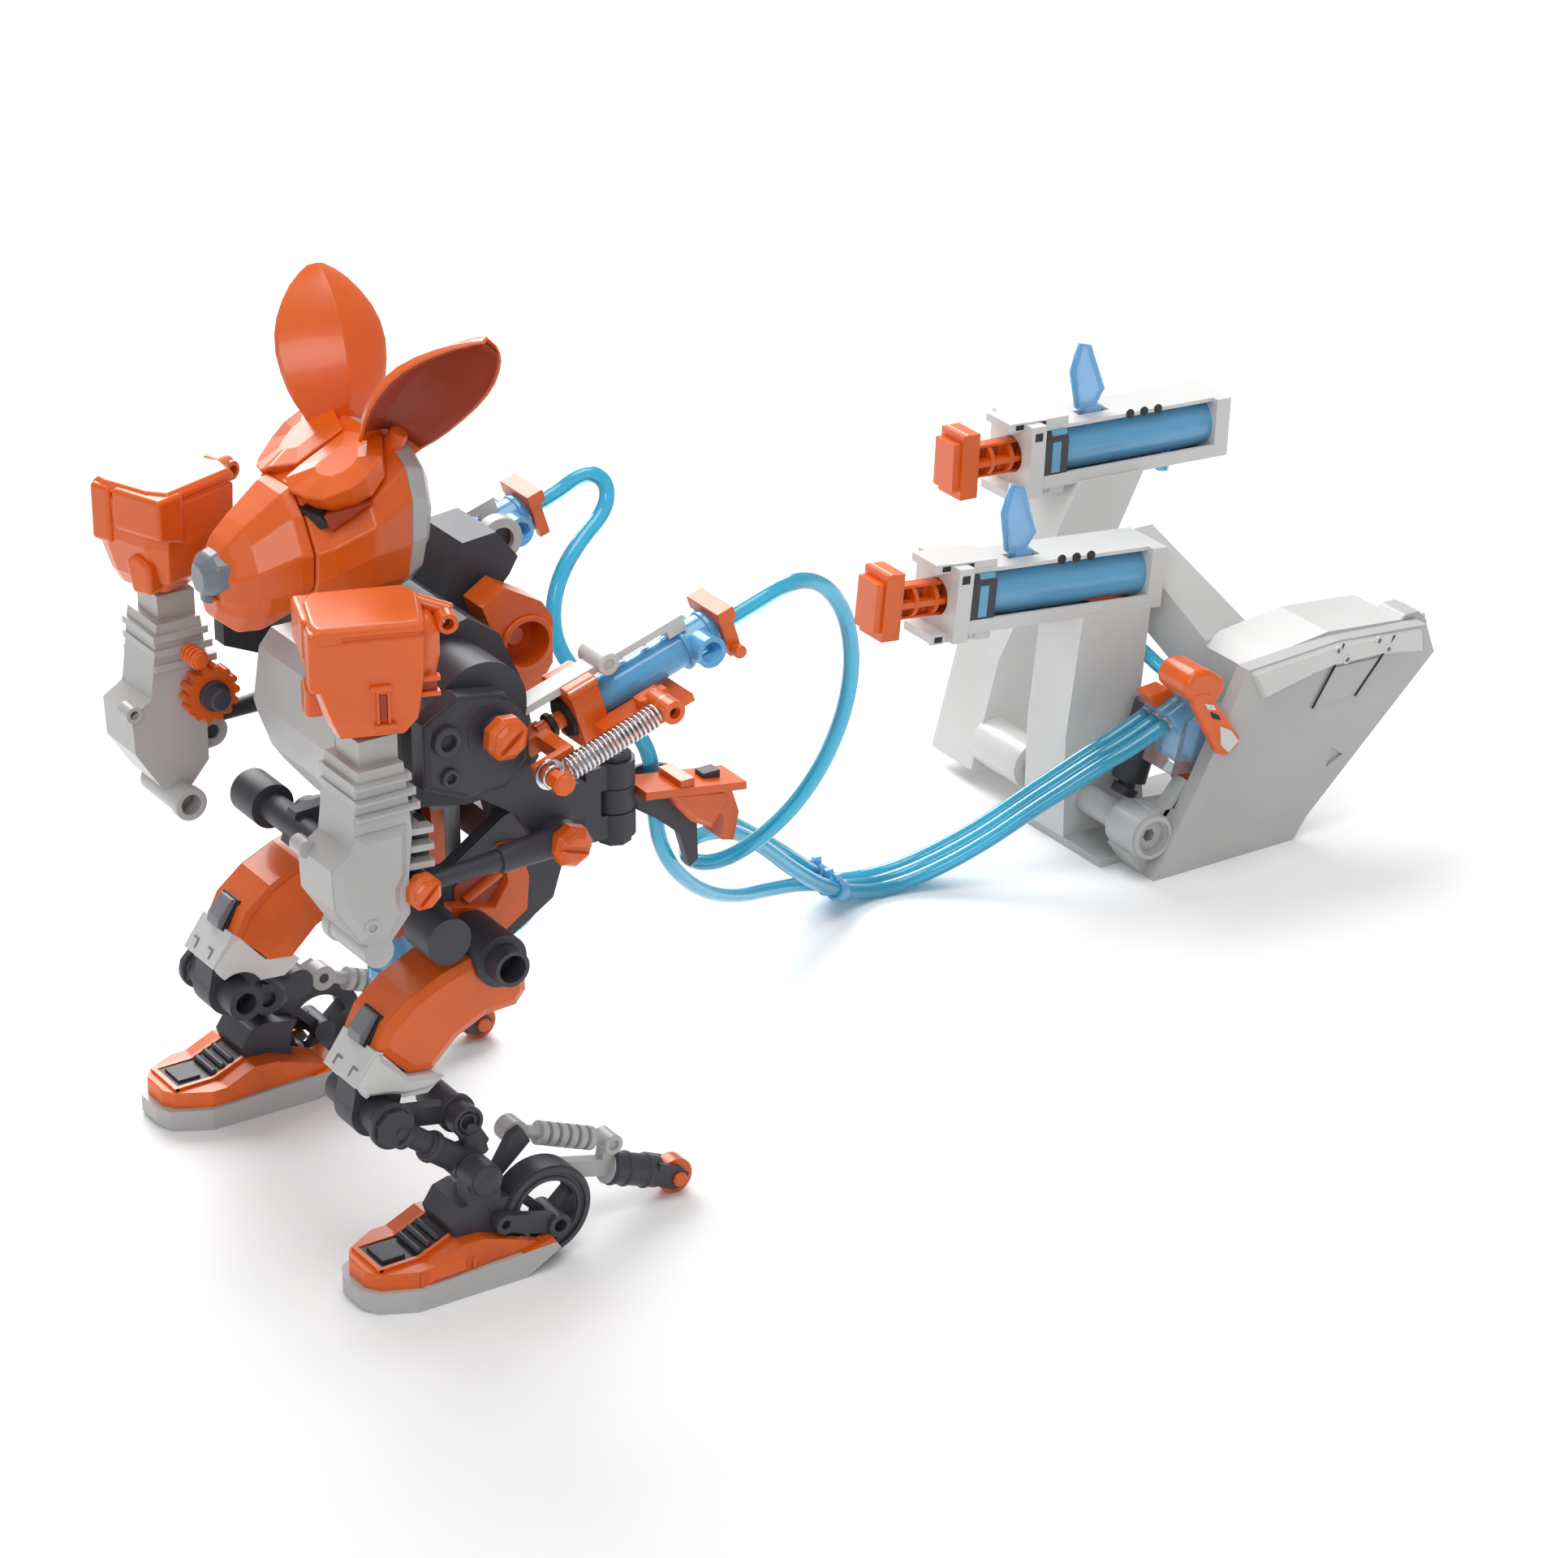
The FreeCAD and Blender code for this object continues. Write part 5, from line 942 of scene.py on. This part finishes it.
def trigger_parts(name, unit, body):
    """Collar, holes painted black as shade, lugs, thumb pad and fin edge of a trigger syringe."""
    def spot(along, over, x):
        return grip(unit, along, over, x)

    collar = Build(name + "_collar")
    corners = [(9.8, -6.6), (9.8, 6.6), (6.6, 10.2), (-6.6, 10.2), (-9.8, 6.6), (-9.8, -6.6), (-6.6, -10.2),
               (6.6, -10.2)]
    collar.rings([[spot(along, over * share, x * share) for over, x in corners]
                  for along, share in ((10.8, 1), (20.9, 1), (20.9, 0.68), (10.8, 0.68))],
                 DARK, closed=True)
    block_at(collar, spot, 14, 17.6, -5.4, 5.6, 9.9, 10.5, BLUE)
    collar.done(body, 0.8)
    # Thin black blocks and rods on the surface: painted shade in the holes and the grip notches.
    holes = Build(name + "_bridge_hole_shade")
    for a0, a1, o0, o1, x in ((0, 3.2, 11.2, 12.9, 7.3), (9.5, 12.5, 11.2, 12.9, 7.3),
                (-0.8, 2.2, -13.2, -11.3, 7.9), (9.6, 12.8, -13.2, -11.3, 7.9),
                (5.4, 8.4, 7.6, 10.4, 11.5)):
        block_at(holes, spot, a0, a1, o0, o1, x, x + 0.3, BLACK)
    for along in (48, 54, 60):
        holes.rod(spot(along, 10.2, 7.6), spot(along, 10.2, 8.25), 1.7, BLACK, 16, 0.1)
    holes.done(body, 0)
    ears = Build(name + "_bridge_ears")
    block_at(ears, spot, -2.6, 4.2, 10.4, 13.6, 6.6, 7.35, PALE)
    block_at(ears, spot, -2.6, 3.4, -14, -10.4, 7.2, 7.95, PALE)
    block_at(ears, spot, 15, 21, -13.8, -10.8, -8.4, 9, PALE)
    ears.done(body, 0.3)
    pad = Build(name + "_pad_edge")
    outline = [(-19.2, -10.4), (-14.6, -9.2), (-14.2, 0), (-14.6, 10.4), (-18.6, 12.4), (-21.4, 10.8),
               (-19.4, 4), (-18.8, -3), (-21, -8.6)]
    pad.rings([[spot(a, o, x) for a, o in outline] for x in (-6.6, 6.6)], ORANGE)
    # Dark red blocks between the pad's ridges: painted shade in its grooves.
    for a0 in (-12.4, -6, 2, 7.6):
        for o0, o1 in ((-4.4, -0.9), (0.9, 4.4)):
            block_at(pad, spot, a0, a0 + 3.8, o0, o1, -1.3, 1.3, SHADED_ORANGE)
    for o0, o1 in ((4.6, 5.9), (-5.9, -4.6)):
        block_at(pad, spot, -14, 9, o0, o1, -2.6, 2.6, ORANGE)
    pad.done(name + "_plunger", 0.7, (), 3)
    blade = [(31, 12), (37, 11.4), (41, 18), (34, 34), (30.5, 35.4), (28, 26)]
    edge = Build(name + "_fin_edge")
    edge.path([spot(a, max(o, 13), 0) for a, o in blade + blade[:1]], 1.25, BLUE)
    edge.done(name + "_fin", 0)


trigger_parts("near", NEAR, "base")
trigger_parts("far", FAR, "far_handle")


def console_parts():
    """Lever clamp, manifold, hose and the trim of the casing and plate."""
    slab("clamp_lever", "manifold_clamp", -29.8, -26.4,
         [(320.4, 66.8), (327.4, 65.8), (340.8, 46.3), (340.2, 43.7), (335.4, 40.7), (331.2, 42.5),
          (321.2, 61.3)], ORANGE, 0.8, ["manifold_clamp"], 3)
    bracket = Build("clamp_bracket")
    bracket.side(-54.6, -48.6, [(325.4, 38.5), (330, 37), (343.4, 19.8), (342.4, 15.6), (337, 16.4)], ORANGE)
    bracket.side(-54.6, -42.6, [(337, 16.2), (346.4, 14.8), (347.6, 17.6), (339.4, 20.4)], ORANGE)
    bracket.side(-54.6, -46.6, [(317.4, 59.4), (325.8, 60.2), (331, 54.4), (329, 51.4), (322, 52.2)], ORANGE)
    bracket.done("base", 0.8, (), 3)
    slab("clamp_bulb", "manifold_clamp", -44, -26.8,
         [(317.5, 70.5), (320.9, 74.3), (327.4, 73.8), (334, 68.8), (334.2, 64.4), (330.4, 60.8),
          (322.8, 61.8), (318, 66)], ORANGE, 2.6, (), 5)
    inserts = Build("clamp_inserts")
    inserts.side(-26.8, -25.6, [(331.6, 52.9), (336.2, 50.2), (339.6, 45.6), (335.4, 42.3), (332.2, 45.7)],
                 PALE)
    inserts.side(-26.8, -25.6, [(324.8, 62.7), (328.6, 61.2), (329.6, 59.1), (326, 60.3)], PALE)
    inserts.side(-26.8, -26, [(327.4, 58.9), (331, 56.9), (332.2, 54.7), (328.4, 56.3)], BLACK)
    inserts.done("manifold_clamp", 0.3)
    core = Build("manifold_core")
    core.side(-51, -40, [(325.4, 36), (333.6, 34.4), (337.6, 48), (328.6, 51)], BLUE)
    for x in (-51.3, -46, -40.7):
        core.rod((x, 321.5, 51.1), (x, 331, 54.9), 3.3, BLUE, 20)
    core.done("base", 0.4)
    hose = Build("console_hose")
    hose.path([(-80, 318.5, 75.5), (-80, 323, 72), (-78, 330, 67.5), (-75, 335.7, 61.4), (-70, 338.6, 57.2),
               (-65, 341, 54.2), (-60, 343.8, 53.2), (-55, 344.4, 53), (-50, 340, 50)], 2.5, VINYL, 16)
    hose.done("base", 0)
    slab("outlet_clip", "base", -86.4, -74, [(311, 86), (322, 85), (331, 81.4), (330, 78.6), (317, 80)],
         ORANGE, 0.9, (), 3)
    casing = Build("casing_face")
    bevelled(casing, -30.3, -28.2,
             [(347, 66.4), (352, 56.4), (357, 57.4), (372, 60.4), (381.5, 61.5), (402.5, 60.7),
              (420.4, 57.6), (419.4, 66.2), (384, 69.4), (348, 67.4)], 0.9, PALE)
    casing.side(-30.3, -29.4, [(382.4, 60.6), (401.4, 59.8), (391, 48.8), (374.2, 48.2)], LIGHT)
    for y, z in ((382.2, 67.3), (386.2, 63.2), (404, 62.8), (399.8, 66.9)):
        casing.cup((-28.6, y, z), (-27.7, y, z), 1.7, 0.9, 0.5, PALE, MID)
    casing.done("base", 0.25)
    seams = Build("casing_seams")
    for line in ([(381.9, 61.2), (373.2, 47.8)], [(402.5, 60.4), (391.4, 48)], [(384.6, 69.3), (381.9, 61.2)],
                 [(406.6, 67.2), (402.5, 60.4)]):
        seams.path([(-28.1 if z > 61.3 else -29.3, y, z) for y, z in line], 0.35, BLACK, 8)
    seams.done("base", 0)
    ribs = Build("plate_ribs")
    for outline in ([(318, 14), (329, 20), (329, 22), (318, 17)], [(316, 20), (318, 19), (327, 29), (326, 31)]):
        ribs.side(-42, -36, outline, LIGHT)
    ribs.pipe((-33.4, 310, 15), (-31.4, 310, 15), 7.6, 6.2, LIGHT)
    ribs.done("base", 0.3)
    slab("plate_tab", "base", -38, -31, [(330, 0.2), (352, 0.2), (351, 2.6), (331, 2.6)], FROST, 0.4)
    slab("casing_hook", "base", -50, -36.5,
         [(414, 66), (418, 69), (424, 69), (427.9, 65), (427.9, 56), (425.6, 55), (425.2, 62), (420, 65)],
         LIGHT, 0.7)


console_parts()


# ---- stage, light and camera
def area(name, place, target, size, power):
    """Round soft light aimed at a target."""
    data = bpy.data.lights.new(name, "AREA")
    data.shape, data.size, data.energy = "DISK", size, power
    lamp = bpy.data.objects.new(name, data)
    lamp.location = place
    lamp.rotation_euler = (Vector(target) - Vector(place)).to_track_quat("-Z", "Y").to_euler()
    bpy.context.scene.collection.objects.link(lamp)


def studio():
    """Pale floor, white world and three soft lights."""
    floor_mesh = bpy.data.meshes.new("floor")
    reach = 4.0
    floor_mesh.from_pydata([(-reach, -reach, 0), (reach, -reach, 0), (reach, reach, 0), (-reach, reach, 0)],
                [], [(0, 1, 2, 3)])
    floor = bpy.data.objects.new("floor", floor_mesh)
    bpy.context.scene.collection.objects.link(floor)
    pale = bpy.data.materials.new("floor_pale")
    pale.use_nodes = True
    shader = pale.node_tree.nodes["Principled BSDF"]
    shader.inputs["Base Color"].default_value = (0.93, 0.93, 0.93, 1)
    shader.inputs["Roughness"].default_value = 0.7
    floor_mesh.materials.append(pale)
    world = bpy.data.worlds.new("studio")
    world.use_nodes = True
    world.node_tree.nodes["Background"].inputs["Color"].default_value = (1, 1, 1, 1)
    world.node_tree.nodes["Background"].inputs["Strength"].default_value = 0.48
    bpy.context.scene.world = world
    bpy.context.scene.view_settings.view_transform = "Standard"
    middle = (0, 0, 0.12)
    area("top_box", (0.15, -0.1, 1.5), middle, 0.9, 8)
    area("key_box", (1.3, -1.3, 1.3), middle, 0.8, 7)
    area("rim_box", (-1.1, 0.25, 0.95), middle, 1.2, 24)


def camera():
    """Long lens aimed from the robot's left front, slightly above."""
    right = Vector((0.54464, 0.83867, 0.0))
    up = Vector((-0.35444, 0.23017, 0.90631))
    back = Vector((0.76009, -0.49361, 0.42262))
    data = bpy.data.cameras.new("camera")
    data.sensor_fit, data.sensor_width, data.lens = "HORIZONTAL", 36.0, 114.8
    data.clip_start, data.clip_end = 0.05, 20.0
    view = bpy.data.objects.new("camera", data)
    turn = Matrix((right, up, back)).transposed().to_4x4()
    view.matrix_world = Matrix.Translation((1.1934, -0.79736, 0.7361)) @ turn
    bpy.context.scene.collection.objects.link(view)
    bpy.context.scene.camera = view


studio()
camera()
